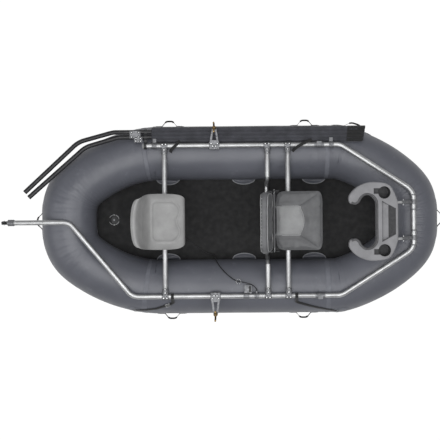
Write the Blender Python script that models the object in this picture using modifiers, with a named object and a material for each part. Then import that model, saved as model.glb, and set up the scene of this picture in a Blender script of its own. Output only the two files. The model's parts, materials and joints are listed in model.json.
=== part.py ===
"""Two-seat inflatable fishing raft with a bolt-together tube frame.

Metres, +X towards the bow, +Y to port, +Z up. The origin lies on the flat underside of the
floor, midway along the hull. Port pieces have side +1 and starboard pieces side -1.
"""

import math

import bmesh
import bpy
import numpy as np
from mathutils import Matrix, Vector
from mathutils.bvhtree import BVHTree

# Clearances and mesh fineness
GAP = 0.0003
OVERRUN = 0.004
ROUND_SIDES = 12
BOLT_SIDES = 6
KNOB_SIDES = 8
HORN_SIDES = 10
CUP_SIDES = 20
ROPE_SIDES = 6
ARC_STEPS = 8
ROUTE_STEPS = 3
BEND_STEPS = 5
SHARP_EDGE = math.radians(35)
BEVELLED_EDGE = math.radians(60)
PAD_CUTS = 5
PORT = 1
STARBOARD = -1
SIDE_NAMES = {PORT: "port", STARBOARD: "starboard"}

# Hull: one ring of tube that draws in and kicks up at both ends
HULL_LENGTH = 3.338
HULL_WIDTH = 1.600
HULL_TUBE_RADIUS = 0.2285
HULL_TUBE_SIDES = 20
BOW_TAPER = 0.606
STERN_TAPER = 0.730
BOW_KICK = 0.100
STERN_KICK = 0.080
HULL_CURVE_STEPS = 2
# Each pair: how far along the taper, and the share of the centreline's half width left there
bow_taper_shares = (
    (0.0, 1.0), (0.26, 0.915), (0.55, 0.757), (0.79, 0.562), (0.935, 0.385), (0.99, 0.215), (1.0, 0.0),
)
stern_taper_shares = (
    (0.0, 1.0), (0.21, 0.962), (0.451, 0.866), (0.688, 0.712), (0.892, 0.508), (0.984, 0.28), (1.0, 0.0),
)

# Floor: a flat drop-stitch panel whose top edge meets the tube this far below its middle
FLOOR_EDGE_TURN = math.radians(36)
# Where the ends kick up, the floor's edge draws in by this share of the rise
FLOOR_EASE_SHARE = 0.25
LIP_LENGTH = 0.20
LIP_REACH = 0.034
LIP_HEIGHT = 0.012
LIP_STATIONS = (-0.62, 0.04, 0.65)
FLOOR_VALVE_X = -1.09
FLOOR_VALVE_RADIUS = 0.046
FLOOR_VALVE_CAP_RADIUS = 0.026
FLOOR_VALVE_HEIGHT = 0.010
FLOOR_VALVE_CLEARANCE = 0.0008

# Frame tubes
FRAME_WIDTH = 1.250
RAIL_RADIUS = 0.021
PORT_RAIL_END_X = -0.795
SLIP_JOINT_X = 0.665
SLIP_JOINT_LENGTH = 0.080
SLIP_JOINT_WALL = 0.0035
SLIP_PLATE_THICKNESS = 0.004
SLIP_BOLT_RADIUS = 0.005
SLIP_BOLT_HEIGHT = 0.006
HOOP_SHOULDER_X = 0.843
HOOP_CORNER_X = 1.424
HOOP_CORNER_Y = 0.238
HOOP_BEND_RADIUS = 0.115
ARM_SHOULDER_X = -0.893
ARM_INNER_X = -1.400
ARM_TIP_X = -1.893
ARM_BEND_RADIUS = 0.110
END_CAP_LENGTH = 0.024
END_CAP_WALL = 0.002

# Crossbars and their fittings
ROWER_BAR_X = -0.619
FOOT_BAR_X = 0.234
SEAT_BAR_X = 0.404
TEE_LENGTH = 0.056
TEE_REACH = 0.0645
FITTING_WALL = 0.0055
TEE_BOSS_RADIUS = 0.011
TEE_BOSS_HEIGHT = 0.007
STUB_OVERHANG = 0.017
FOOT_TUBE_RADIUS = 0.016
FOOT_TUBE_DROP = 0.2788
FOOT_TUBE_INSET = 0.038
FOOT_BEND_RADIUS = 0.045

# Oarlocks and the clamps that carry them
OARLOCK_X = -0.203
OARLOCK_REACH = 0.143
CLAMP_LENGTH = 0.086
CLAMP_WIDTH = 0.070
CLAMP_HEIGHT = 0.058
CLAMP_ROUND = 0.008
CLAMP_BOLT_RADIUS = 0.007
CLAMP_BOLT_HEIGHT = 0.008
ARM_PLATE_THICKNESS = 0.012
ARM_PLATE_WINDOW = 0.036
SOCKET_RADIUS = 0.018
SOCKET_HEIGHT = 0.042
PIN_RADIUS = 0.0075
PIN_DROP = 0.012
RETAINER_RADIUS = 0.013
RETAINER_HEIGHT = 0.004
HORN_RADIUS = 0.0075
HORN_HALF_WIDTH = 0.030
HORN_HEIGHT = 0.062
HORN_FLARE = 0.006
COLLAR_HEIGHT = 0.008

# Anchor head on the tip of the arm: a fork with its sheave and axle
FORK_WALL = 0.004
SHEAVE_RADIUS = 0.027
SHEAVE_WIDTH = 0.018
SHEAVE_GROOVE = 0.006
SHEAVE_CLEARANCE = 0.0015
AXLE_RADIUS = 0.005
AXLE_OVERHANG = 0.004
FORK_COLLAR_LENGTH = 0.044

# Rower's moulded seat, clamped on its crossbar
SEAT_SHELL = 0.006
ROWER_SEAT_FRONT_X = -0.452
ROWER_SEAT_DEPTH = 0.412
ROWER_SEAT_WIDTH = 0.456
ROWER_SEAT_PAN_RISE = 0.0682
ROWER_SEAT_BACK_RISE = 0.270
ROWER_SEAT_SIDE_RISE = 0.034
ROWER_SEAT_ROWS = 7
CLAMP_PROBES = 12
CLAMP_PLATE_LENGTH = 0.200
CLAMP_PLATE_WIDTH = 0.180
CLAMP_PLATE_THICKNESS = 0.008
CLAMP_SADDLE_WALL = 0.008
CLAMP_SADDLE_WIDTH = 0.032
CLAMP_SADDLE_Y = 0.062

# Front seat: pan, cushion and a back that folds down on to it
FRONT_SEAT_REAR_X = 0.290
FRONT_SEAT_DEPTH = 0.395
FRONT_SEAT_WIDTH = 0.490
FRONT_PAN_THICKNESS = 0.014
FRONT_CUSHION_THICKNESS = 0.075
FRONT_CUSHION_CROWN = 0.018
FRONT_CUSHION_TUCK_SHARE = 0.06
FRONT_CUSHION_CORNER_SHARE = 0.35
FRONT_PAN_INSET = 0.018
BACK_HEIGHT = 0.400
BACK_THICKNESS = 0.062
BACK_WIDTH = 0.480
BACK_LEAN = math.radians(8)
BACK_PIVOT_X = 0.284
BACK_CLEARANCE = 0.004
BACK_FOOT = 0.050
BACK_CROWN = 0.012
BACK_TUCK_SHARE = 0.05
BACK_CORNER_SHARE = 0.30
HINGE_EAR_THICKNESS = 0.005
HINGE_EAR_RADIUS = 0.018
HINGE_PIN_RADIUS = 0.004
HINGE_ARM_LENGTH = 0.165
HINGE_ARM_THICKNESS = 0.016
HINGE_ARM_WIDTH = 0.026
HINGE_ARM_DEPTH = 0.046
HINGE_HALF_SPAN = 0.246

# Lean brace at the bow on two telescoping posts
BRACE_REAR_X = 0.862
BRACE_DEPTH = 0.390
BRACE_HALF_WIDTH = 0.310
BRACE_RISE = 0.3112
BRACE_THICKNESS = 0.050
BRACE_CUP_X = 1.144
BRACE_CUP_Y = 0.228
BRACE_CUP_RADIUS = 0.049
BRACE_CUP_WALL = 0.006
BRACE_CUP_DEPTH = 0.086
BRACE_TRAY_DEPTH = 0.036
BRACE_TRAY_REAR_X = 1.126
BRACE_TRAY_FRONT_X = 1.236
BRACE_TRAY_REAR_HALF = 0.160
BRACE_TRAY_FRONT_HALF = 0.098
BRACE_NOTCH_LENGTH = 0.070
BRACE_NOTCH_WIDTH = 0.044
BRACE_NOTCH_DEPTH = 0.030
POST_Y = 0.146
POST_TOP_X = 1.205
POST_RADIUS = 0.011
POST_SLOT_LENGTH = 0.075
POST_SLOT_WEB = 0.012
SOCKET_TUBE_WALL = 0.003
SOCKET_TUBE_LENGTH = 0.160
SOCKET_COLLAR_LENGTH = 0.040
BRACE_PIN_RADIUS = 0.004
BRACE_PIN_LENGTH = 0.050
BRACE_PIN_HEIGHT_SHARE = 0.85
POST_FLANGE_RADIUS = 0.026
POST_FLANGE_HEIGHT = 0.006
# Half outline of the brace, from the outer middle of its bow edge round the arm to the inner
# middle: shares of its depth from the rear and of its half width
brace_outline_shares = (
    (1.0, 0.0), (1.0, 0.42), (0.975, 0.58), (0.92, 0.75), (0.85, 0.90), (0.73, 0.975),
    (0.58, 1.0), (0.43, 1.0), (0.28, 0.95), (0.14, 0.85), (0.03, 0.70), (0.0, 0.58),
    (0.03, 0.47), (0.11, 0.44), (0.18, 0.50), (0.22, 0.59), (0.29, 0.665), (0.37, 0.68),
    (0.46, 0.64), (0.525, 0.55), (0.55, 0.43), (0.55, 0.0),
)

# Rod tubes, rod sleeve and what holds them to the port rail
ROD_TUBE_RADIUS = 0.019
ROD_REACH = 0.117
ROD_PITCH = 0.042
ROD_TUBE_DROP = 0.0258
ROD_END_RISE = 0.0362
ROD_END_X = -1.770
ROD_END_Y = 0.248
ROD_KNEE_X = -1.335
ROD_KNEE_REACH = 0.039
ROD_SHOULDER_X = -1.045
# How much nearer the bow the inner tube's end, knee and shoulder lie
ROD_END_STEP = 0.033
ROD_KNEE_STEP = 0.060
ROD_SHOULDER_STEP = 0.040
ROD_TUBE_START_X = -0.725
ROD_BEND_RADIUS = 0.200
ROD_CLAMP_X = -0.775
ROD_CLAMP_THICKNESS = 0.022
ROD_CLAMP_WALL = 0.005
SLEEVE_LENGTH = 1.780
SLEEVE_REACH = 0.025
SLEEVE_LOBES = 4
SLEEVE_LOBE_PITCH = 0.033
SLEEVE_HALF_THICKNESS = 0.018
SLEEVE_SLANT = 0.022
SLEEVE_LOBE_STEPS = 6
sleeve_valley_share = 0.70
HANGER_STATIONS = {"stern": -0.700, "bow": 0.765}
HANGER_LENGTH = 0.040
HANGER_EAR_REACH = 0.034
HANGER_EAR_THICKNESS = 0.006

# Anchor rope gear on the starboard rail
CLEAT_X = 0.054
CLEAT_LENGTH = 0.048
CLEAT_REACH = 0.070
CLEAT_PLATE_THICKNESS = 0.006
CLEAT_PLATE_WIDTH = 0.062
LEVER_LENGTH = 0.042
LEVER_WIDTH = 0.014
LEVER_THICKNESS = 0.012
LEVER_PIVOT_INSET = 0.015
LEVER_PIVOT_RADIUS = 0.004
EYE_X = 0.138
EYE_LENGTH = 0.034
EYE_WALL = 0.005
EYE_BOSS_RADIUS = 0.010
EYE_BOSS_REACH = 0.016
ROPE_RADIUS = 0.004
ROPE_CLEARANCE = 0.0012
ROPE_HULL_CLEARANCE = 0.004
COIL_X = -0.640
COIL_Y = -0.060
COIL_TURNS_PER_LAYER = 6
COIL_LAYERS = 2
COIL_TURN_POINTS = 18
COIL_INNER_RADIUS = 0.048
COIL_PITCH = 0.0093

# Webbing: carry handles and frame straps
WEBBING_THICKNESS = 0.003
HANDLE_WIDTH = 0.030
HANDLE_LENGTH = 0.220
HANDLE_GRIP = 0.140
HANDLE_BOW = 0.042
HANDLE_STEPS = 7
SIDE_HANDLES = {
    "handle_port_stern": (-0.585, PORT),
    "handle_port_middle": (0.545, PORT),
    "handle_port_bow": (0.905, PORT),
    "handle_starboard_stern": (-0.573, STARBOARD),
    "handle_starboard_bow": (0.524, STARBOARD),
}
STRAP_WIDTH = 0.025
STRAP_STEPS = 8
# Each strap: where it wraps the rail, where it ends on the hull, its side and how far round
# the tube from the top its end lies
FRAME_STRAPS = {
    "strap_starboard_stern": (-0.560, -0.840, STARBOARD, math.radians(62)),
    "strap_starboard_bow": (0.470, 0.790, STARBOARD, math.radians(62)),
}
STRAP_RAIL_START = math.radians(-95)
STRAP_RAIL_END = math.radians(50)
STRAP_RAIL_STEPS = 8
STRAP_CLEARANCE = 0.0016
STRAP_TOUCH_REACH = 0.075
BUCKLE_LENGTH = 0.044
BUCKLE_WIDTH = 0.034
BUCKLE_HEIGHT = 0.011
BUCKLE_SHARE = 0.62

# Heights and places that follow from the sizes above
HULL_END = HULL_LENGTH / 2 - HULL_TUBE_RADIUS
HULL_HALF = HULL_WIDTH / 2 - HULL_TUBE_RADIUS
BOW_SIDE_X = HULL_END - BOW_TAPER
STERN_SIDE_X = STERN_TAPER - HULL_END
RAIL_Y = FRAME_WIDTH / 2
REST_REACH = HULL_TUBE_RADIUS + RAIL_RADIUS + FITTING_WALL + GAP
RAIL_Z = HULL_TUBE_RADIUS + REST_REACH
FLOOR_TOP = HULL_TUBE_RADIUS * (1 - math.sin(FLOOR_EDGE_TURN))
ARM_Z = 2 * HULL_TUBE_RADIUS + STERN_KICK + RAIL_RADIUS + GAP
INNER_EDGE_Y = HULL_HALF - HULL_TUBE_RADIUS
STUB_INNER_Y = INNER_EDGE_Y + STUB_OVERHANG
FOOT_TUBE_Z = RAIL_Z - FOOT_TUBE_DROP
FOOT_TUBE_HALF_WIDTH = INNER_EDGE_Y - FOOT_TUBE_INSET
OARLOCK_Y = RAIL_Y + OARLOCK_REACH
ROWER_SEAT_PAN_Z = RAIL_Z + ROWER_SEAT_PAN_RISE
BRACE_Z = RAIL_Z + BRACE_RISE
ROD_OUTER_Y = RAIL_Y + ROD_REACH
ROD_INNER_Y = ROD_OUTER_Y - ROD_PITCH
ROD_TUBE_Z = RAIL_Z - ROD_TUBE_DROP
ROD_TUBE_END_Z = RAIL_Z + ROD_END_RISE
SLEEVE_INNER_Y = RAIL_Y + SLEEVE_REACH
PIVOT_AXIS_Y = Vector((0, 1, 0))


def clear_scene():
    for thing in list(bpy.data.objects):
        bpy.data.objects.remove(thing)


def new_collection(name):
    made = bpy.data.collections.new(name)
    bpy.context.scene.collection.children.link(made)
    return made


def finish_of(name, colour, roughness, metallic=0.0):
    """A plain surface finish: sRGB hex colour, roughness and metallic value."""
    made = bpy.data.materials.new(name)
    made.use_nodes = True
    channels = [int(colour[place:place + 2], 16) / 255 for place in (0, 2, 4)]
    linear = [c / 12.92 if c <= 0.04045 else ((c + 0.055) / 1.055) ** 2.4 for c in channels]
    shader = made.node_tree.nodes["Principled BSDF"]
    shader.inputs["Base Color"].default_value = (*linear, 1)
    shader.inputs["Roughness"].default_value = roughness
    shader.inputs["Metallic"].default_value = metallic
    made.diffuse_color = (*linear, 1)
    return made


def mesh_object(name, mesh, matrix=None):
    made = bpy.data.objects.new(name, mesh)
    if matrix is not None:
        made.matrix_world = matrix
    TOOLS.objects.link(made)
    return made


def from_bmesh(name, shape, matrix=None):
    mesh = bpy.data.meshes.new(name)
    shape.to_mesh(mesh)
    shape.free()
    return mesh_object(name, mesh, matrix)


def baked(source, weld=GAP / 10):
    """A welded mesh copy of what an object's curve and modifiers make; the source is removed."""
    bpy.context.view_layer.update()
    graph = bpy.context.evaluated_depsgraph_get()
    mesh = bpy.data.meshes.new_from_object(source.evaluated_get(graph))
    shape = bmesh.new()
    shape.from_mesh(mesh)
    bmesh.ops.remove_doubles(shape, verts=shape.verts, dist=weld)
    bmesh.ops.recalc_face_normals(shape, faces=shape.faces)
    made = from_bmesh(source.name, shape, source.matrix_world.copy())
    bpy.data.objects.remove(source)
    return made


def block(low, high, rounding=0.0):
    """A box between two corners, with its edges rounded if asked."""
    low = Vector(low)
    high = Vector(high)
    shape = bmesh.new()
    bmesh.ops.create_cube(shape, size=1)
    bmesh.ops.scale(shape, vec=high - low, verts=shape.verts)
    bmesh.ops.translate(shape, vec=(low + high) / 2, verts=shape.verts)
    if rounding:
        bmesh.ops.bevel(
            shape, geom=shape.edges, offset=rounding, segments=2, profile=0.5, affect="EDGES",
            material=-1,
        )
    return from_bmesh("block", shape)


def bar(start, end, radius, end_radius=None, sides=ROUND_SIDES):
    """A round bar or cone between two points."""
    start = Vector(start)
    end = Vector(end)
    shape = bmesh.new()
    bmesh.ops.create_cone(
        shape, cap_ends=True, segments=sides, radius1=radius,
        radius2=radius if end_radius is None else end_radius, depth=(end - start).length,
    )
    turn = (end - start).to_track_quat("Z", "Y").to_matrix().to_4x4()
    shape.transform(Matrix.Translation((start + end) / 2) @ turn)
    return from_bmesh("bar", shape)


def bore(start, end, radius, sides=ROUND_SIDES, turning=False):
    """A cutter for a round hole, past both its ends; its flats clear what turns in it."""
    start = Vector(start)
    end = Vector(end)
    past = (end - start).normalized() * OVERRUN
    if turning:
        radius /= math.cos(math.pi / sides)
    return bar(start - past, end + past, radius, sides=sides)


def wire(points, radius, sides=ROUND_SIDES, cyclic=False):
    """A round tube along a path of points, as a curve with a bevel."""
    curve = bpy.data.curves.new("wire", "CURVE")
    curve.dimensions = "3D"
    curve.twist_mode = "Z_UP"
    curve.bevel_depth = radius
    curve.bevel_resolution = (sides - 4) // 2
    curve.use_fill_caps = not cyclic
    spline = curve.splines.new("POLY")
    spline.points.add(len(points) - 1)
    for place, point in zip(spline.points, points):
        place.co = (*point, 1)
    spline.use_cyclic_u = cyclic
    return baked(mesh_object("wire", curve))


def slab(outline, low, high, matrix=None):
    """A flat closed outline given a thickness along its local Z, from low to high."""
    curve = bpy.data.curves.new("slab", "CURVE")
    curve.dimensions = "2D"
    curve.fill_mode = "BOTH"
    curve.extrude = (high - low) / 2
    spline = curve.splines.new("POLY")
    spline.points.add(len(outline) - 1)
    for place, point in zip(spline.points, outline):
        place.co = (point[0], point[1], 0, 1)
    spline.use_cyclic_u = True
    rise = Matrix.Translation((0, 0, (low + high) / 2))
    return baked(mesh_object("slab", curve, rise if matrix is None else matrix @ rise))


def turned(profile, sides=ROUND_SIDES):
    """A closed profile of radii and heights turned round the local Z."""
    shape = bmesh.new()
    verts = [shape.verts.new((radius, 0, height)) for radius, height in profile]
    edges = [shape.edges.new((start, end)) for start, end in zip(verts, verts[1:] + verts[:1])]
    bmesh.ops.spin(
        shape, geom=verts + edges, cent=(0, 0, 0), axis=(0, 0, 1), angle=2 * math.pi, steps=sides,
        use_merge=True,
    )
    bmesh.ops.remove_doubles(shape, verts=shape.verts, dist=GAP / 10)
    bmesh.ops.recalc_face_normals(shape, faces=shape.faces)
    return from_bmesh("turned", shape)


def ribbon(points, width, thickness, matrix=None):
    """A strip of webbing standing on edge along a flat path."""
    curve = bpy.data.curves.new("ribbon", "CURVE")
    curve.dimensions = "2D"
    curve.fill_mode = "NONE"
    curve.extrude = width / 2
    spline = curve.splines.new("POLY")
    spline.points.add(len(points) - 1)
    for place, point in zip(spline.points, points):
        place.co = (point[0], point[1], 0, 1)
    strip = mesh_object("ribbon", curve, matrix)
    wall = strip.modifiers.new("wall", "SOLIDIFY")
    wall.thickness = thickness
    wall.offset = 0
    return baked(strip)


def smooth_route(points, steps, closed=False):
    """Points on a smooth curve that passes through the given ones."""
    points = [Vector(point) for point in points]
    count = len(points)
    spans = count if closed else count - 1
    route = []
    for span in range(spans):
        if closed:
            before, start, end, after = (points[(span + step) % count] for step in (-1, 0, 1, 2))
        else:
            start, end = points[span], points[span + 1]
            before = points[span - 1] if span else 2 * start - end
            after = points[span + 2] if span + 2 < count else 2 * end - start
        for step in range(steps):
            t = step / steps
            route.append(
                (2 * start + (end - before) * t + (2 * before - 5 * start + 4 * end - after) * t ** 2
                 + (3 * start - before - 3 * end + after) * t ** 3) / 2
            )
    if not closed:
        route.append(points[-1])
    return route


def bent(corners, bend_radius, steps=BEND_STEPS):
    """The centreline of a tube bent to one radius at each of its inner corners."""
    corners = [Vector(corner) for corner in corners]
    path = [corners[0]]
    for before, corner, after in zip(corners, corners[1:], corners[2:]):
        back = (before - corner).normalized()
        onward = (after - corner).normalized()
        half_angle = back.angle(onward) / 2
        centre = corner + (back + onward).normalized() * bend_radius / math.sin(half_angle)
        spoke = corner + back * bend_radius / math.tan(half_angle) - centre
        axis = back.cross(onward).normalized()
        sweep = 2 * half_angle - math.pi
        for step in range(steps + 1):
            path.append(centre + Matrix.Rotation(sweep * step / steps, 3, axis) @ spoke)
    path.append(corners[-1])
    return path


def mirrored(points):
    """The same points on the other side of the centreline."""
    return [Vector((point[0], -point[1], *point[2:])) for point in points]


def make_part(name, finish, base, add=(), cut=(), origin=None):
    """Name a shape as a part, with what is joined to it and cut from it."""
    for operation, others in (("UNION", add), ("DIFFERENCE", cut)):
        for other in others:
            step = base.modifiers.new(operation.lower(), "BOOLEAN")
            step.operation = operation
            step.object = other
            other.hide_render = True
            other.display_type = "WIRE"
    if add or cut:
        done = baked(base)
        for other in (*add, *cut):
            bpy.data.objects.remove(other)
        base = done
    base.name = name
    TOOLS.objects.unlink(base)
    RAFT.objects.link(base)
    base.data.materials.clear()
    base.data.materials.append(finish)
    base.data.shade_smooth()
    base.data.set_sharp_from_angle(angle=SHARP_EDGE)
    base.data.transform(base.matrix_world)
    base.matrix_world = Matrix.Identity(4)
    if origin is not None:
        base.data.transform(Matrix.Translation(-Vector(origin)))
        base.location = origin
    return base


def kick(x):
    """How far the hull rises at x above its flat middle."""
    bow = max(0, x - BOW_SIDE_X) / BOW_TAPER
    stern = max(0, STERN_SIDE_X - x) / STERN_TAPER
    return BOW_KICK * bow ** 2 + STERN_KICK * stern ** 2


def half_centreline():
    """The tube's centreline on the port side, from the stern to the bow."""
    stern = [
        Vector((STERN_SIDE_X - along * STERN_TAPER, left * HULL_HALF, 0))
        for along, left in reversed(stern_taper_shares)
    ]
    bow = [
        Vector((BOW_SIDE_X + along * BOW_TAPER, left * HULL_HALF, 0))
        for along, left in bow_taper_shares
    ]
    steps = HULL_CURVE_STEPS
    on_side = Vector((stern_taper_shares[1][0] * STERN_TAPER, 0, 0))
    stern = smooth_route([*mirrored(stern[1:2]), *stern, stern[-1] + on_side], steps)
    on_side = Vector((bow_taper_shares[1][0] * BOW_TAPER, 0, 0))
    bow = smooth_route([bow[0] - on_side, *bow, *mirrored(bow[-2:-1])], steps)
    return stern[steps:-steps] + bow[steps:-steps]


def mitres(line):
    """At each point of the port centreline, the level direction out from the hull."""
    sides = [(end - start).normalized() for start, end in zip(line, line[1:])]
    normals = [Vector((-along.y, along.x, 0)) for along in sides]
    normals = [*mirrored(normals[:1]), *normals, *mirrored(normals[-1:])]
    return [(a + b).normalized() for a, b in zip(normals, normals[1:])]


def hull_frame(x, side):
    """The tube's centre at x, and its outward level direction there."""
    line = half_centreline()
    outwards = mitres(line)
    for start, end, first, second in zip(line, line[1:], outwards, outwards[1:]):
        if start.x <= x <= end.x and end.x > start.x:
            share = (x - start.x) / (end.x - start.x)
            centre = start.lerp(end, share)
            outward = first.lerp(second, share)
            break
    centre.z = HULL_TUBE_RADIUS + kick(x)
    centre.y *= side
    outward.y *= side
    return centre, outward


def hull_surface(x, side, turn, lift):
    """A point on the tube, turned outwards from its top, lifted off the surface."""
    centre, outward = hull_frame(x, side)
    ray = outward * math.sin(turn) + Vector((0, 0, math.cos(turn)))
    return centre + ray * (HULL_TUBE_RADIUS + lift), ray


def make_hull():
    port = half_centreline()
    ring = port + mirrored(port[-2:0:-1])
    for point in ring:
        point.z = HULL_TUBE_RADIUS + kick(point.x)
    make_part("hull_tube", HULL_FABRIC, wire(ring, HULL_TUBE_RADIUS, HULL_TUBE_SIDES, cyclic=True))


def floor_edge():
    """Points of the floor's port edge, where its top meets the tube; z is its rise there."""
    reach = HULL_TUBE_RADIUS * math.cos(FLOOR_EDGE_TURN) + GAP
    line = half_centreline()
    edge = []
    for point, outward in zip(line, mitres(line)):
        rise = kick(point.x)
        spot = point - outward * (reach + rise * FLOOR_EASE_SHARE)
        spot.z = rise
        if spot.y > LIP_REACH and (not edge or spot.x > edge[-1].x + LIP_HEIGHT):
            edge.append(spot)
    return edge


def floor_rise(x):
    """How far the floor's kick has lifted it at x."""
    edge = floor_edge()
    return float(np.interp(x, [spot.x for spot in edge], [spot.z for spot in edge]))


def make_floor():
    """A level panel that follows the hull's kick, with half-moon patches along its sides."""
    edge = floor_edge()
    shape = bmesh.new()
    rows = []
    for spot in edge:
        row = [
            shape.verts.new((spot.x, side * spot.y, spot.z + height))
            for side, height in ((1, 0), (-1, 0), (-1, FLOOR_TOP), (1, FLOOR_TOP))
        ]
        rows.append(row)
    for start, end in zip(rows, rows[1:]):
        for corner in range(len(start)):
            following = (corner + 1) % len(start)
            shape.faces.new((start[corner], start[following], end[following], end[corner]))
    shape.faces.new(rows[0])
    shape.faces.new(reversed(rows[-1]))
    bmesh.ops.recalc_face_normals(shape, faces=shape.faces)
    panel = from_bmesh("panel", shape)
    lips = []
    side_y = max(spot.y for spot in edge) - LIP_HEIGHT
    for x in LIP_STATIONS:
        for side in (PORT, STARBOARD):
            half = LIP_LENGTH / 2
            arc = [
                (x + half * math.cos(turn), side * (side_y - LIP_REACH * math.sin(turn)))
                for turn in (math.pi * step / ARC_STEPS for step in range(ARC_STEPS + 1))
            ]
            lips.append(slab(arc, FLOOR_TOP - OVERRUN, FLOOR_TOP + LIP_HEIGHT))
    make_part("hull_floor", FLOOR_FOAM, panel, add=lips)


def make_floor_valve():
    ends = [
        Vector((x, 0, FLOOR_TOP + FLOOR_VALVE_CLEARANCE + floor_rise(x)))
        for x in (FLOOR_VALVE_X - FLOOR_VALVE_RADIUS, FLOOR_VALVE_X + FLOOR_VALVE_RADIUS)
    ]
    spot = (ends[0] + ends[1]) / 2
    up = (ends[1] - ends[0]).cross(PIVOT_AXIS_Y).normalized() * -FLOOR_VALVE_HEIGHT
    up = up if up.z > 0 else -up
    flange = bar(spot, spot + up / 2, FLOOR_VALVE_RADIUS, FLOOR_VALVE_RADIUS - FLOOR_VALVE_HEIGHT)
    cap = bar(spot, spot + up, FLOOR_VALVE_CAP_RADIUS)
    make_part("floor_valve", DARK_PLASTIC, flange, add=[cap])


def make_side_rails():
    joint = SLIP_JOINT_X - GAP / 2
    port = [(PORT_RAIL_END_X, RAIL_Y, RAIL_Z), (joint, RAIL_Y, RAIL_Z)]
    make_part("rail_port", ALUMINIUM, wire(port, RAIL_RADIUS))
    starboard = [
        (ARM_TIP_X, 0, ARM_Z), (ARM_INNER_X, 0, ARM_Z), (ARM_SHOULDER_X, -RAIL_Y, RAIL_Z),
        (joint, -RAIL_Y, RAIL_Z),
    ]
    make_part("rail_starboard", ALUMINIUM, wire(bent(starboard, ARM_BEND_RADIUS), RAIL_RADIUS))
    inner = Vector((PORT_RAIL_END_X + END_CAP_LENGTH, RAIL_Y, RAIL_Z))
    outer = Vector((PORT_RAIL_END_X - END_CAP_WALL - GAP, RAIL_Y, RAIL_Z))
    stop = Vector((PORT_RAIL_END_X - GAP, RAIL_Y, RAIL_Z))
    sleeve = bar(outer, inner, RAIL_RADIUS + END_CAP_WALL + GAP)
    past = inner + Vector((OVERRUN, 0, 0))
    hollow = bar(stop, past, RAIL_RADIUS + GAP)
    make_part("rail_end_cap", RUBBER, sleeve, cut=[hollow])


def make_bow_hoop():
    inset = HULL_END - HOOP_CORNER_X
    corner_z = HULL_TUBE_RADIUS + BOW_KICK + math.sqrt(REST_REACH ** 2 - inset ** 2)
    start = SLIP_JOINT_X + GAP / 2
    corners = [
        (start, RAIL_Y, RAIL_Z), (HOOP_SHOULDER_X, RAIL_Y, RAIL_Z),
        (HOOP_CORNER_X, HOOP_CORNER_Y, corner_z), (HOOP_CORNER_X, -HOOP_CORNER_Y, corner_z),
        (HOOP_SHOULDER_X, -RAIL_Y, RAIL_Z), (start, -RAIL_Y, RAIL_Z),
    ]
    make_part("bow_hoop", ALUMINIUM, wire(bent(corners, HOOP_BEND_RADIUS), RAIL_RADIUS))
    return corner_z


def make_slip_joint(side):
    """A sleeve over the butt of rail and hoop, with a bolted tab on its outer side."""
    middle = Vector((SLIP_JOINT_X, side * RAIL_Y, RAIL_Z))
    half = Vector((SLIP_JOINT_LENGTH / 2, 0, 0))
    radius = RAIL_RADIUS + SLIP_JOINT_WALL
    sleeve = bar(middle - half, middle + half, radius)
    outer = side * (RAIL_Y + radius + SLIP_PLATE_THICKNESS)
    inner = side * RAIL_Y
    tab = block(
        (SLIP_JOINT_X - SLIP_JOINT_LENGTH / 4, min(inner, outer), RAIL_Z + radius / 2),
        (SLIP_JOINT_X + SLIP_JOINT_LENGTH / 4, max(inner, outer), RAIL_Z + radius - 2 * GAP),
    )
    bolts = [
        bar(
            middle + along * half / 2 + Vector((0, 0, RAIL_RADIUS + GAP)),
            middle + along * half / 2 + Vector((0, 0, radius + SLIP_BOLT_HEIGHT)), SLIP_BOLT_RADIUS,
            sides=BOLT_SIDES,
        )
        for along in (-1, 1)
    ]
    hole = bore(middle - half, middle + half, RAIL_RADIUS + GAP)
    make_part(f"slip_joint_{SIDE_NAMES[side]}", ALUMINIUM, sleeve, add=[tab, *bolts], cut=[hole])


def make_tee(name, x, side, bar_radius):
    """A cast fitting that slides over the rail and takes the end of a crossbar."""
    middle = Vector((x, side * RAIL_Y, RAIL_Z))
    half = Vector((TEE_LENGTH / 2, 0, 0))
    inboard = middle - Vector((0, side * TEE_REACH, 0))
    body = bar(middle - half, middle + half, RAIL_RADIUS + FITTING_WALL)
    socket = bar(middle, inboard, bar_radius + FITTING_WALL - GAP)
    up = Vector((0, 0, RAIL_RADIUS + FITTING_WALL + TEE_BOSS_HEIGHT))
    bosses = [
        bar(spot, spot + up, TEE_BOSS_RADIUS, sides=BOLT_SIDES)
        for spot in (middle, inboard.lerp(middle, 0.25))
    ]
    rail_hole = bore(middle - half, middle + half, RAIL_RADIUS + GAP)
    bar_hole = bore(middle, inboard, bar_radius + 2 * GAP)
    make_part(name, ALUMINIUM, body, add=[socket, *bosses], cut=[rail_hole, bar_hole])


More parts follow.
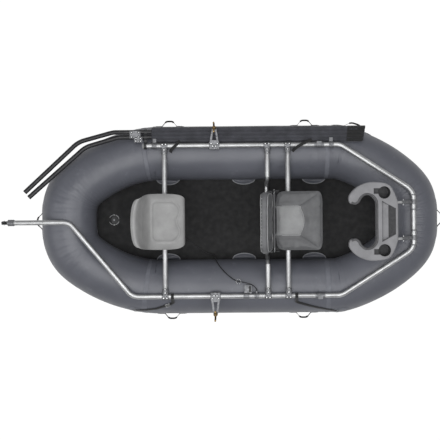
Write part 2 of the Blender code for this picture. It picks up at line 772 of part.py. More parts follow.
def make_crossbars():
    reach = RAIL_Y - RAIL_RADIUS - 4 * GAP
    for name, x in (("rower_crossbar", ROWER_BAR_X), ("seat_crossbar", SEAT_BAR_X)):
        ends = [(x, -reach, RAIL_Z), (x, reach, RAIL_Z)]
        make_part(name, ALUMINIUM, wire(ends, RAIL_RADIUS))
    fittings = (("rower", ROWER_BAR_X), ("foot", FOOT_BAR_X), ("seat", SEAT_BAR_X))
    for label, x in fittings:
        for side in (PORT, STARBOARD):
            make_tee(f"tee_{label}_{SIDE_NAMES[side]}", x, side, RAIL_RADIUS)
    stubs = [
        bar((FOOT_BAR_X, side * STUB_INNER_Y, RAIL_Z), (FOOT_BAR_X, side * reach, RAIL_Z), RAIL_RADIUS)
        for side in (PORT, STARBOARD)
    ]
    knee = STUB_INNER_Y - FOOT_TUBE_RADIUS - OVERRUN
    deep = [
        (FOOT_BAR_X, side * y, z)
        for side, places in (
            (PORT, ((reach - TEE_REACH, RAIL_Z), (knee, RAIL_Z), (FOOT_TUBE_HALF_WIDTH, FOOT_TUBE_Z))),
            (STARBOARD, ((FOOT_TUBE_HALF_WIDTH, FOOT_TUBE_Z), (knee, RAIL_Z), (reach - TEE_REACH, RAIL_Z))),
        )
        for y, z in places
    ]
    tube = wire(bent(deep, FOOT_BEND_RADIUS), FOOT_TUBE_RADIUS)
    make_part("foot_bar", ALUMINIUM, tube, add=stubs)


def arm_plate_levels():
    low = RAIL_Z + RAIL_RADIUS
    return low, low + ARM_PLATE_THICKNESS


def make_oarlock_holder(side):
    """A clamp on the rail with a windowed A-shaped arm that ends in a socket."""
    low, high = arm_plate_levels()
    half_length = CLAMP_LENGTH / 2
    half_width = CLAMP_WIDTH / 2
    half_height = CLAMP_HEIGHT / 2
    rail = side * RAIL_Y
    clamp = block(
        (OARLOCK_X - half_length, rail - half_width, RAIL_Z - CLAMP_ROUND),
        (OARLOCK_X + half_length, rail + half_width, RAIL_Z + half_height), CLAMP_ROUND,
    )
    half = Vector((half_length - CLAMP_ROUND, 0, 0))
    middle = Vector((OARLOCK_X, rail, RAIL_Z))
    grip = bar(middle - half, middle + half, RAIL_RADIUS + FITTING_WALL)
    tip = side * OARLOCK_Y
    root = rail + side * half_width / 2
    outline = [
        (OARLOCK_X - half_length * 0.9, root), (OARLOCK_X + half_length * 0.9, root),
        (OARLOCK_X + SOCKET_RADIUS, tip), (OARLOCK_X - SOCKET_RADIUS, tip),
    ]
    arm = slab(outline, low, high)
    window_root = rail + side * (half_width + CLAMP_ROUND)
    window_tip = tip - side * SOCKET_RADIUS * 1.5
    window = [
        (OARLOCK_X - ARM_PLATE_WINDOW / 2, window_root), (OARLOCK_X + ARM_PLATE_WINDOW / 2, window_root),
        (OARLOCK_X + ARM_PLATE_WINDOW / 4, window_tip), (OARLOCK_X - ARM_PLATE_WINDOW / 4, window_tip),
    ]
    opening = slab(window, low - OVERRUN, high + OVERRUN)
    foot = Vector((OARLOCK_X, tip, low))
    top = foot + Vector((0, 0, SOCKET_HEIGHT))
    socket = bar(foot, top, SOCKET_RADIUS)
    bolts = [
        bar(
            (OARLOCK_X + along * half_length / 2, rail - side * half_width * 0.7, RAIL_Z),
            (OARLOCK_X + along * half_length / 2, rail - side * half_width * 0.7,
             RAIL_Z + half_height + CLAMP_BOLT_HEIGHT), CLAMP_BOLT_RADIUS, sides=BOLT_SIDES,
        )
        for along in (-1, 1)
    ]
    rail_hole = bore(
        (OARLOCK_X - half_length, rail, RAIL_Z), (OARLOCK_X + half_length, rail, RAIL_Z),
        RAIL_RADIUS + GAP,
    )
    pin_hole = bore(foot, top, PIN_RADIUS + GAP, turning=True)
    make_part(
        f"oarlock_holder_{SIDE_NAMES[side]}", ALUMINIUM, clamp, add=[grip, arm, socket, *bolts],
        cut=[rail_hole, pin_hole, opening],
    )


def make_oarlock(side):
    """A bronze oarlock: horns, collar and pin, free to turn in its socket."""
    low = arm_plate_levels()[0]
    seat = low + SOCKET_HEIGHT + GAP
    y = side * OARLOCK_Y
    top = seat + COLLAR_HEIGHT
    bow = HORN_HALF_WIDTH
    horns = [(OARLOCK_X, y - bow - HORN_FLARE, top + HORN_RADIUS + bow + HORN_HEIGHT)]
    horns += [
        (OARLOCK_X, y - bow * math.cos(turn), top + HORN_RADIUS + bow - bow * math.sin(turn))
        for turn in (math.pi * step / ARC_STEPS for step in range(ARC_STEPS + 1))
    ]
    horns.append((OARLOCK_X, y + bow + HORN_FLARE, top + HORN_RADIUS + bow + HORN_HEIGHT))
    cradle = wire(horns, HORN_RADIUS, HORN_SIDES)
    collar = bar((OARLOCK_X, y, seat), (OARLOCK_X, y, top + HORN_RADIUS), SOCKET_RADIUS, PIN_RADIUS)
    below = low - GAP
    pin = bar((OARLOCK_X, y, below - PIN_DROP), (OARLOCK_X, y, top), PIN_RADIUS)
    retainer = bar((OARLOCK_X, y, below - RETAINER_HEIGHT), (OARLOCK_X, y, below), RETAINER_RADIUS)
    make_part(
        f"oarlock_{SIDE_NAMES[side]}", BRASS, cradle, add=[collar, pin, retainer],
        origin=(OARLOCK_X, y, seat),
    )


def make_anchor_head():
    """A forked cap clamped on the arm's tip, with a sheave turning on a through axle."""
    half_width = SHEAVE_WIDTH / 2 + SHEAVE_CLEARANCE + FORK_WALL
    collar_radius = RAIL_RADIUS + FITTING_WALL
    collar_end = ARM_TIP_X + FORK_COLLAR_LENGTH
    stop = ARM_TIP_X - FITTING_WALL
    sheave_x = stop - FORK_WALL - SHEAVE_RADIUS - SHEAVE_CLEARANCE
    collar = bar((stop, 0, ARM_Z), (collar_end, 0, ARM_Z), collar_radius)
    fork = block(
        (sheave_x - SHEAVE_RADIUS * 0.6, -half_width, ARM_Z - RAIL_RADIUS),
        (stop + FORK_WALL, half_width, ARM_Z + RAIL_RADIUS), FORK_WALL / 2,
    )
    inner_half = SHEAVE_WIDTH / 2 + SHEAVE_CLEARANCE
    slot = block(
        (sheave_x - 2 * SHEAVE_RADIUS, -inner_half, ARM_Z - 2 * SHEAVE_RADIUS),
        (stop - FORK_WALL, inner_half, ARM_Z + 2 * SHEAVE_RADIUS),
    )
    arm_hole = bar(
        (ARM_TIP_X - GAP, 0, ARM_Z), (collar_end + OVERRUN, 0, ARM_Z), RAIL_RADIUS + GAP,
    )
    axle_ends = [(sheave_x, -half_width, ARM_Z), (sheave_x, half_width, ARM_Z)]
    axle_hole = bore(*axle_ends, AXLE_RADIUS + GAP)
    bolts = [
        bar(
            (ARM_TIP_X + FORK_COLLAR_LENGTH * share, 0, ARM_Z + RAIL_RADIUS + GAP),
            (ARM_TIP_X + FORK_COLLAR_LENGTH * share, 0, ARM_Z + collar_radius + SLIP_BOLT_HEIGHT),
            SLIP_BOLT_RADIUS, sides=BOLT_SIDES,
        )
        for share in (0.25, 0.75)
    ]
    make_part("anchor_head", ALUMINIUM, collar, add=[fork, *bolts], cut=[arm_hole, slot, axle_hole])
    overhang = Vector((0, AXLE_OVERHANG, 0))
    axle = bar(Vector(axle_ends[0]) - overhang, Vector(axle_ends[1]) + overhang, AXLE_RADIUS)
    make_part("anchor_axle", STEEL, axle)
    half = SHEAVE_WIDTH / 2
    middle = Vector((sheave_x, 0, ARM_Z))
    core = SHEAVE_RADIUS - SHEAVE_GROOVE
    inside = (AXLE_RADIUS + GAP) / math.cos(math.pi / ROUND_SIDES)
    profile = [
        (inside, -half), (SHEAVE_RADIUS, -half), (core, 0), (SHEAVE_RADIUS, half), (inside, half),
    ]
    wheel = turned(profile)
    wheel.data.transform(Matrix.Translation(middle) @ Matrix.Rotation(math.pi / 2, 4, "X"))
    make_part("anchor_sheave", BLACK_NYLON, wheel, origin=middle)
    return sheave_x


def make_rower_seat():
    """A moulded bucket: pan, raised sides and a low back, as one shell."""
    front = ROWER_SEAT_FRONT_X
    depth = ROWER_SEAT_DEPTH
    pan = ROWER_SEAT_PAN_Z
    rise = ROWER_SEAT_BACK_RISE
    # Shares of the seat's depth and back rise, the half width there and how much of the side
    # rise it carries
    profile_shares = (
        (0.00, -0.100, 0.80, 0.0), (0.012, -0.020, 0.88, 0.2), (0.09, 0.022, 0.97, 0.5),
        (0.30, 0.000, 1.00, 1.0), (0.55, -0.010, 1.00, 1.0), (0.68, 0.020, 0.99, 1.1),
        (0.76, 0.150, 0.98, 0.8), (0.84, 0.480, 0.95, 0.4), (0.90, 0.840, 0.88, 0.2),
        (0.94, 0.985, 0.76, 0.1), (0.975, 1.000, 0.72, 0.0), (1.00, 0.940, 0.70, 0.0),
    )
    shape = bmesh.new()
    rows = []
    for along, up, wide, sides in profile_shares:
        row = []
        for step in range(ROWER_SEAT_ROWS):
            across = 2 * step / (ROWER_SEAT_ROWS - 1) - 1
            spread = math.sin(across * math.pi / 2 * 0.94) / math.sin(math.pi / 2 * 0.94)
            lift = sides * ROWER_SEAT_SIDE_RISE * abs(across) ** 4
            tuck = rise * 0.16 * up * across ** 2 if up > 0.1 else 0
            row.append(shape.verts.new((
                front - along * depth + tuck, spread * wide * ROWER_SEAT_WIDTH / 2, pan + up * rise + lift,
            )))
        rows.append(row)
    for start, end in zip(rows, rows[1:]):
        for step in range(ROWER_SEAT_ROWS - 1):
            shape.faces.new((start[step], start[step + 1], end[step + 1], end[step]))
    bmesh.ops.recalc_face_normals(shape, faces=shape.faces)
    shell = from_bmesh("shell", shape)
    smooth = shell.modifiers.new("smooth", "SUBSURF")
    smooth.levels = 1
    smooth.render_levels = 1
    wall = shell.modifiers.new("wall", "SOLIDIFY")
    wall.thickness = SEAT_SHELL
    wall.offset = 0
    return make_part("rower_seat", SEAT_PLASTIC, baked(shell))


def saddle(x, y, plate_z, along_y=CLAMP_SADDLE_WIDTH):
    """A block that grips a crossbar from above and below, up to a plate: body and its bore."""
    body = block(
        (x - RAIL_RADIUS - CLAMP_SADDLE_WALL, y - along_y / 2, RAIL_Z - RAIL_RADIUS - CLAMP_SADDLE_WALL),
        (x + RAIL_RADIUS + CLAMP_SADDLE_WALL, y + along_y / 2, plate_z), CLAMP_SADDLE_WALL / 2,
    )
    hole = bore((x, y - along_y / 2, RAIL_Z), (x, y + along_y / 2, RAIL_Z), RAIL_RADIUS + GAP)
    return body, hole


def make_rower_seat_clamp(seat):
    """A plate under the seat with two saddles on the rower's crossbar."""
    middle = ROWER_BAR_X
    shell = BVHTree.FromPolygons(
        [vert.co for vert in seat.data.vertices], [list(face.vertices) for face in seat.data.polygons],
    )
    over = [
        shell.ray_cast(
            Vector((middle + CLAMP_PLATE_LENGTH * (across / CLAMP_PROBES - 1 / 2),
                    CLAMP_PLATE_WIDTH * (along / CLAMP_PROBES - 1 / 2), RAIL_Z)),
            Vector((0, 0, 1)),
        )[0].z
        for across in range(CLAMP_PROBES + 1) for along in range(CLAMP_PROBES + 1)
    ]
    top = min(over) - GAP
    plate = block(
        (middle - CLAMP_PLATE_LENGTH / 2, -CLAMP_PLATE_WIDTH / 2, top - CLAMP_PLATE_THICKNESS),
        (middle + CLAMP_PLATE_LENGTH / 2, CLAMP_PLATE_WIDTH / 2, top),
    )
    saddles = [saddle(ROWER_BAR_X, side * CLAMP_SADDLE_Y, top) for side in (PORT, STARBOARD)]
    make_part(
        "rower_seat_clamp", ALUMINIUM, plate, add=[body for body, _ in saddles],
        cut=[hole for _, hole in saddles],
    )


def pad(size, crown, tuck, corner):
    """A closed crowned cushion about the origin: its top swells and its sides draw in."""
    shape = bmesh.new()
    bmesh.ops.create_cube(shape, size=2)
    bmesh.ops.subdivide_edges(shape, edges=shape.edges, cuts=PAD_CUTS, use_grid_fill=True)
    half = Vector(size) / 2
    for vert in shape.verts:
        x, y, z = vert.co
        round_x = x * math.sqrt(1 - corner * y * y / 2)
        round_y = y * math.sqrt(1 - corner * x * x / 2)
        level = (1 - x ** 4) * (1 - y ** 4)
        swell = crown * level if z > 0 else 0
        waist = 1 - tuck * (1 - level) * (abs(z) if z < 0 else z * z)
        height = z * (half.z - crown / 2) - crown / 2 + swell * max(z, 0)
        vert.co = (round_x * half.x * waist, round_y * half.y * waist, height)
    bmesh.ops.recalc_face_normals(shape, faces=shape.faces)
    return from_bmesh("pad", shape)


def front_seat_levels():
    """Heights of the pan's underside, the cushion's underside and the cushion's top."""
    pan_low = RAIL_Z + RAIL_RADIUS + CLAMP_SADDLE_WALL
    cushion_low = pan_low + FRONT_PAN_THICKNESS + GAP
    return pan_low, cushion_low, cushion_low + FRONT_CUSHION_THICKNESS


def back_pivot():
    """The hinge axis: just over the cushion's crown, so that the back folds flat above it."""
    return Vector((BACK_PIVOT_X, 0, front_seat_levels()[2] + BACK_CLEARANCE))


def make_front_seat():
    pan_low, cushion_low, cushion_top = front_seat_levels()
    middle = FRONT_SEAT_REAR_X + FRONT_SEAT_DEPTH / 2
    inner_half = FRONT_SEAT_WIDTH / 2 - FRONT_PAN_INSET
    pan = block(
        (FRONT_SEAT_REAR_X, -inner_half, pan_low),
        (FRONT_SEAT_REAR_X + FRONT_SEAT_DEPTH - FRONT_PAN_INSET, inner_half, pan_low + FRONT_PAN_THICKNESS),
        FRONT_PAN_THICKNESS / 4,
    )
    saddles = [saddle(SEAT_BAR_X, side * CLAMP_SADDLE_Y * 2, pan_low + OVERRUN) for side in (PORT, STARBOARD)]
    pivot = back_pivot()
    ears = []
    holes = []
    for side in (PORT, STARBOARD):
        inner = side * (HINGE_HALF_SPAN + GAP)
        outer = side * (HINGE_HALF_SPAN + GAP + HINGE_EAR_THICKNESS)
        spot = Vector((pivot.x, inner, pivot.z))
        end = Vector((pivot.x, outer, pivot.z))
        ears.append(bar(spot, end, HINGE_EAR_RADIUS))
        ears.append(block(
            (pivot.x - HINGE_EAR_RADIUS, min(inner, outer), pan_low),
            (FRONT_SEAT_REAR_X + HINGE_EAR_RADIUS * 2, max(inner, outer), pivot.z - HINGE_EAR_RADIUS / 2),
        ))
        ears.append(block(
            (FRONT_SEAT_REAR_X + OVERRUN, min(side * inner_half * 0.9, outer), pan_low),
            (FRONT_SEAT_REAR_X + HINGE_EAR_RADIUS * 2, max(side * inner_half * 0.9, outer),
             pan_low + FRONT_PAN_THICKNESS / 2),
        ))
        holes.append(bore(spot, end, HINGE_PIN_RADIUS + GAP))
    make_part(
        "front_seat_base", DARK_PLASTIC, pan, add=[*(body for body, _ in saddles), *ears],
        cut=[*(hole for _, hole in saddles), *holes],
    )
    cushion = pad(
        (FRONT_SEAT_DEPTH, FRONT_SEAT_WIDTH, FRONT_CUSHION_THICKNESS), FRONT_CUSHION_CROWN,
        FRONT_CUSHION_TUCK_SHARE, FRONT_CUSHION_CORNER_SHARE,
    )
    lift = Matrix.Translation((middle, 0, cushion_low + FRONT_CUSHION_THICKNESS / 2))
    cushion.data.transform(lift)
    make_part("front_seat_cushion", SEAT_FABRIC, cushion)
    reach = Vector((0, HINGE_HALF_SPAN + GAP + HINGE_EAR_THICKNESS + AXLE_OVERHANG, 0))
    make_part("seat_hinge_pin", STEEL, bar(pivot - reach, pivot + reach, HINGE_PIN_RADIUS))


def make_front_seat_back():
    """The padded back on two hinge arms, leaning aft from its pin."""
    pivot = back_pivot()
    back = pad((BACK_HEIGHT, BACK_WIDTH, BACK_THICKNESS), BACK_CROWN, BACK_TUCK_SHARE, BACK_CORNER_SHARE)
    stand = Matrix.Rotation(-math.pi / 2 - BACK_LEAN, 4, PIVOT_AXIS_Y)
    centre = Vector((BACK_FOOT + BACK_HEIGHT / 2, 0, BACK_THICKNESS / 2 + BACK_CLEARANCE))
    face_forward = Matrix.Rotation(math.pi, 4, "X")
    place = Matrix.Translation(pivot) @ stand
    back.data.transform(place @ Matrix.Translation(centre) @ face_forward)
    arms = []
    holes = []
    for side in (PORT, STARBOARD):
        inner = side * (HINGE_HALF_SPAN - HINGE_ARM_THICKNESS)
        outer = side * (HINGE_HALF_SPAN - GAP)
        arm = block(
            (0, min(inner, outer), -HINGE_ARM_WIDTH / 2),
            (HINGE_ARM_LENGTH, max(inner, outer), HINGE_ARM_DEPTH),
        )
        arm.data.transform(place)
        hub_ends = [Vector((pivot.x, y, pivot.z)) for y in (inner, outer)]
        arms += [arm, bar(*hub_ends, HINGE_ARM_WIDTH / 2)]
        holes.append(bore(*hub_ends, HINGE_PIN_RADIUS + GAP, turning=True))
    make_part("front_seat_back", SEAT_FABRIC, back, add=arms, cut=holes, origin=pivot)


def make_lean_brace():
    """The moulded U-shaped brace with two cup wells, a tray and a notch beside each cup."""
    port = [
        (BRACE_REAR_X + along * BRACE_DEPTH, left * BRACE_HALF_WIDTH)
        for along, left in brace_outline_shares
    ]
    route = port + [(x, -y) for x, y in port[-2:0:-1]]
    low = BRACE_Z
    high = BRACE_Z + BRACE_THICKNESS
    plate = slab([point[:2] for point in smooth_route([(*spot, 0) for spot in route], 2, True)], low, high)
    edge = plate.modifiers.new("edge", "BEVEL")
    edge.width = BRACE_CUP_WALL
    edge.segments = 1
    edge.limit_method = "ANGLE"
    edge.angle_limit = BEVELLED_EDGE
    plate = baked(plate)
    add = []
    cut = []
    for side in (PORT, STARBOARD):
        y = side * BRACE_CUP_Y
        bottom = high - BRACE_CUP_DEPTH
        rim = high + OVERRUN
        wall = BRACE_CUP_RADIUS + BRACE_CUP_WALL
        add.append(bar(
            (BRACE_CUP_X, y, bottom - BRACE_CUP_WALL), (BRACE_CUP_X, y, low + OVERRUN), wall * 0.9, wall,
        ))
        cut.append(bar(
            (BRACE_CUP_X, y, bottom), (BRACE_CUP_X, y, rim), BRACE_CUP_RADIUS * 0.9, BRACE_CUP_RADIUS,
            sides=CUP_SIDES,
        ))
        notch_y = y + side * BRACE_CUP_WALL * 2
        cut.append(block(
            (BRACE_CUP_X - BRACE_CUP_RADIUS - BRACE_NOTCH_LENGTH / 2, notch_y - BRACE_NOTCH_WIDTH / 2,
             high - BRACE_NOTCH_DEPTH),
            (BRACE_CUP_X, notch_y + BRACE_NOTCH_WIDTH / 2, rim),
        ))
    tray = [
        (BRACE_TRAY_REAR_X, -BRACE_TRAY_REAR_HALF), (BRACE_TRAY_FRONT_X, -BRACE_TRAY_FRONT_HALF),
        (BRACE_TRAY_FRONT_X, BRACE_TRAY_FRONT_HALF), (BRACE_TRAY_REAR_X, BRACE_TRAY_REAR_HALF),
    ]
    cut.append(slab(tray, high - BRACE_TRAY_DEPTH, high + OVERRUN))
    make_part("lean_brace", BRACE_PLASTIC, plate, add=add, cut=cut)


def post_line(hoop_z):
    """From the hoop's axis up to the underside of the brace, at the starboard or port post."""
    foot = Vector((HOOP_CORNER_X, 0, hoop_z))
    top = Vector((POST_TOP_X, 0, BRACE_Z - POST_RADIUS - GAP))
    return foot, (top - foot).normalized(), (top - foot).length


def make_post(side, hoop_z):
    """One side's socket on the hoop, its slotted post and the pin through both."""
    name = SIDE_NAMES[side]
    foot, up, length = post_line(hoop_z)
    foot.y = side * POST_Y
    across = Vector((0, 1, 0))
    tube_radius = POST_RADIUS + GAP + SOCKET_TUBE_WALL
    collar_radius = RAIL_RADIUS + FITTING_WALL
    half = across * SOCKET_COLLAR_LENGTH / 2
    collar = bar(foot - half, foot + half, collar_radius)
    mouth = foot + up * SOCKET_TUBE_LENGTH
    tube = bar(foot, mouth, tube_radius)
    hoop_hole = bore(foot - half, foot + half, RAIL_RADIUS + GAP)
    floor_of_tube = foot + up * (collar_radius + GAP)
    post_hole = bore(floor_of_tube + up * OVERRUN, mouth, POST_RADIUS + GAP)
    pin_middle = foot + up * SOCKET_TUBE_LENGTH * BRACE_PIN_HEIGHT_SHARE
    reach = across * BRACE_PIN_LENGTH / 2
    pin_hole = bore(pin_middle - reach, pin_middle + reach, BRACE_PIN_RADIUS + GAP)
    make_part(f"brace_socket_{name}", ALUMINIUM, tube, add=[collar], cut=[hoop_hole, post_hole, pin_hole])
    post_foot = pin_middle - up * (POST_SLOT_LENGTH + POST_SLOT_WEB)
    post_top = foot + up * length
    post = bar(post_foot, post_top, POST_RADIUS)
    flange = bar(
        (post_top.x, post_top.y, BRACE_Z - GAP - POST_FLANGE_HEIGHT), (post_top.x, post_top.y, BRACE_Z - GAP),
        POST_FLANGE_RADIUS,
    )
    return name, post_foot, post_top, post, flange, pin_middle, reach, up


def make_brace_posts(hoop_z):
    for side in (PORT, STARBOARD):
        name, foot, top, post, flange, pin_middle, reach, up = make_post(side, hoop_z)
        half_slot = BRACE_PIN_RADIUS + GAP * 2
        slot = block((-half_slot, -reach.y, -POST_SLOT_LENGTH - half_slot), (half_slot, reach.y, half_slot))
        turn = Matrix((
            (up.z, 0, up.x, pin_middle.x), (0, 1, 0, pin_middle.y),
            (-up.x, 0, up.z, pin_middle.z), (0, 0, 0, 1),
        ))
        slot.data.transform(turn)
        make_part(f"brace_post_{name}", ALUMINIUM, post, add=[flange], cut=[slot])
        pin = bar(pin_middle - reach, pin_middle + reach, BRACE_PIN_RADIUS)
        make_part(f"brace_pin_{name}", STEEL, pin)


def make_rod_tubes():
    for name, inward in (("rod_tube_outer", 0), ("rod_tube_inner", 1)):
        y = ROD_OUTER_Y - inward * ROD_PITCH
        corners = [
            (ROD_END_X + inward * ROD_END_STEP, ROD_END_Y - inward * ROD_PITCH, ROD_TUBE_END_Z),
            (ROD_KNEE_X + inward * ROD_KNEE_STEP, RAIL_Y + ROD_KNEE_REACH - inward * ROD_PITCH, ROD_TUBE_Z),
            (ROD_SHOULDER_X + inward * ROD_SHOULDER_STEP, y, ROD_TUBE_Z),
            (ROD_TUBE_START_X, y, ROD_TUBE_Z),
        ]
        make_part(name, ROD_PLASTIC, wire(bent(corners, ROD_BEND_RADIUS), ROD_TUBE_RADIUS))


def make_rod_clamp():
    """One plate that grips the rail's stern end and both rod tubes."""
    half = Vector((ROD_CLAMP_THICKNESS / 2, 0, 0))
    grips = (
        (RAIL_Y, RAIL_Z, RAIL_RADIUS + END_CAP_WALL + 2 * GAP),
        (ROD_INNER_Y, ROD_TUBE_Z, ROD_TUBE_RADIUS + GAP),
        (ROD_OUTER_Y, ROD_TUBE_Z, ROD_TUBE_RADIUS + GAP),
    )
    bodies = []
    holes = []
    for y, z, radius in grips:
        middle = Vector((ROD_CLAMP_X, y, z))
        bodies.append(bar(middle - half, middle + half, radius + ROD_CLAMP_WALL))
        holes.append(bore(middle - half, middle + half, radius))
    web = block(
        (ROD_CLAMP_X - half.x, RAIL_Y, ROD_TUBE_Z - ROD_CLAMP_WALL),
        (ROD_CLAMP_X + half.x, ROD_OUTER_Y, ROD_TUBE_Z + ROD_CLAMP_WALL * 2),
    )
    make_part("rod_clamp", DARK_PLASTIC, bodies[0], add=[web, *bodies[1:]], cut=holes)


def make_rod_sleeve():
    """A quilted sleeve beside the rail: four long lobes, its bow end cut on a slant."""
    width = SLEEVE_LOBES * SLEEVE_LOBE_PITCH
    steps = SLEEVE_LOBES * SLEEVE_LOBE_STEPS
    upper = []
    for step in range(steps + 1):
        share = step / steps
        lobe = abs(math.sin(math.pi * SLEEVE_LOBES * share))
        full = SLEEVE_HALF_THICKNESS * (sleeve_valley_share + (1 - sleeve_valley_share) * lobe)
        edge = min(1, math.sqrt(max(0, min(share, 1 - share)) * 2 * SLEEVE_LOBES))
        upper.append((SLEEVE_INNER_Y + share * width, full * edge))
    outline = upper + [(y, -z) for y, z in reversed(upper[1:-1])]
    stern = ROD_TUBE_START_X + GAP
    stand = Matrix(((0, 0, 1, stern), (1, 0, 0, 0), (0, 1, 0, ROD_TUBE_Z), (0, 0, 0, 1)))
    sleeve = slab(outline, 0, SLEEVE_LENGTH, stand)
    sleeve.data.transform(sleeve.matrix_world)
    sleeve.matrix_world = Matrix.Identity(4)
    bow = stern + SLEEVE_LENGTH
    for vert in sleeve.data.vertices:
        if vert.co.x > bow - OVERRUN:
            vert.co.x -= SLEEVE_SLANT * (1 - (vert.co.y - SLEEVE_INNER_Y) / width)
    make_part("rod_sleeve", SLEEVE_FABRIC, sleeve)


def make_sleeve_hangers():
    """Collars on the rail whose ears reach over the sleeve's inner lobe."""
    for name, x in HANGER_STATIONS.items():
        middle = Vector((x, RAIL_Y, RAIL_Z))
        half = Vector((HANGER_LENGTH / 2, 0, 0))
        collar = bar(middle - half, middle + half, RAIL_RADIUS + FITTING_WALL)
        low = ROD_TUBE_Z + SLEEVE_HALF_THICKNESS + GAP
        ear_y = RAIL_Y + RAIL_RADIUS + FITTING_WALL + HANGER_EAR_REACH
        ear = block(
            (x - half.x * 0.75, RAIL_Y, low), (x + half.x * 0.75, ear_y, low + HANGER_EAR_THICKNESS),
        )
        up = Vector((0, 0, RAIL_RADIUS + FITTING_WALL + HANGER_EAR_THICKNESS))
        knob = bar(middle, middle + up, TEE_BOSS_RADIUS, sides=KNOB_SIDES)
        hole = bore(middle - half, middle + half, RAIL_RADIUS + GAP)
        make_part(f"sleeve_hanger_{name}", ALUMINIUM, collar, add=[ear, knob], cut=[hole])


def make_cleat():
    """A clamp on the starboard rail with a plate inboard, and a cam lever that swings on it."""
    middle = Vector((CLEAT_X, -RAIL_Y, RAIL_Z))
    half = Vector((CLEAT_LENGTH / 2, 0, 0))
    collar = bar(middle - half, middle + half, RAIL_RADIUS + FITTING_WALL)
    low = RAIL_Z - CLEAT_PLATE_THICKNESS / 2
    high = RAIL_Z + CLEAT_PLATE_THICKNESS / 2
    stern_edge = middle.x - half.x + FITTING_WALL
    plate = block(
        (stern_edge, middle.y, low),
        (stern_edge + CLEAT_PLATE_WIDTH, middle.y + CLEAT_REACH + RAIL_RADIUS, high),
        CLEAT_PLATE_THICKNESS / 4,
    )
    pivot = cleat_pivot()
    past = Vector((CLEAT_PLATE_WIDTH, 0, 0))
    rail_hole = bore(middle - half, middle + past, RAIL_RADIUS + GAP)
    pivot_hole = bore(
        (pivot.x, pivot.y, low), (pivot.x, pivot.y, high), LEVER_PIVOT_RADIUS + GAP, turning=True,
    )
    make_part("cleat_base", ALUMINIUM, collar, add=[plate], cut=[rail_hole, pivot_hole])
    base = high + GAP
    half_width = LEVER_WIDTH / 2
    lever = block(
        (pivot.x - half_width, pivot.y - half_width, base),
        (pivot.x + half_width, pivot.y + LEVER_LENGTH, base + LEVER_THICKNESS), LEVER_THICKNESS / 4,
    )
    cam = bar((pivot.x, pivot.y, base), (pivot.x, pivot.y, base + LEVER_THICKNESS), half_width * 1.4)
    stem = bar((pivot.x, pivot.y, low - GAP), (pivot.x, pivot.y, base + OVERRUN), LEVER_PIVOT_RADIUS)
    make_part("cleat_lever", BLACK_NYLON, lever, add=[cam, stem], origin=(pivot.x, pivot.y, base))


def cleat_pivot():
    inboard = RAIL_RADIUS + FITTING_WALL + LEVER_WIDTH
    bow_edge = CLEAT_X - CLEAT_LENGTH / 2 + FITTING_WALL + CLEAT_PLATE_WIDTH
    return Vector((bow_edge - LEVER_PIVOT_INSET, -RAIL_Y + inboard, 0))


def make_rope_eye():
    """The collar on the starboard rail where the anchor rope comes out of the tube."""
    middle = Vector((EYE_X, -RAIL_Y, RAIL_Z))
    half = Vector((EYE_LENGTH / 2, 0, 0))
    inboard = middle + Vector((0, RAIL_RADIUS + EYE_WALL + EYE_BOSS_REACH, 0))
    collar = bar(middle - half, middle + half, RAIL_RADIUS + EYE_WALL)
    boss = bar(middle, inboard, EYE_BOSS_RADIUS)
    rail_hole = bore(middle - half, middle + half, RAIL_RADIUS + GAP)
    make_part("rope_eye", ALUMINIUM, collar, add=[boss], cut=[rail_hole])


def rope_rest():
    """The height of the rope's axis where it lies on the floor under the rower's seat."""
    reach = COIL_INNER_RADIUS + COIL_PITCH * COIL_TURNS_PER_LAYER + ROPE_RADIUS
    return FLOOR_TOP + floor_rise(COIL_X - reach) + ROPE_RADIUS + GAP


def coil_points():
    """The coil: in along the lower layer, up at the middle, out again on the upper one."""
    turns = COIL_TURNS_PER_LAYER * COIL_LAYERS
    low = rope_rest()
    layer = 2 * ROPE_RADIUS + ROPE_CLEARANCE
    middle = turns / 2
    points = []
    for step in range(turns * COIL_TURN_POINTS + 1):
        turn = step / COIL_TURN_POINTS
        radius = COIL_INNER_RADIUS + COIL_PITCH * abs(turn - middle)
        angle = -math.pi / 2 - 2 * math.pi * turn
        climb = min(1, max(0, (turn - middle) * 2 + 0.5))
        climb = climb * climb * (3 - 2 * climb)
        points.append(Vector((
            COIL_X + radius * math.cos(angle), COIL_Y + radius * math.sin(angle), low + layer * climb,
        )))
    return points


def least_gap(points, radius, near):
    """The least clear distance between stretches of a tube more than near points apart."""
    spots = np.array([tuple(point) for point in points])
    least = math.inf
    for start in range(len(spots) - near):
        reach = np.linalg.norm(spots[start + near:] - spots[start], axis=1)
        least = min(least, float(reach.min()))
    return least - 2 * radius


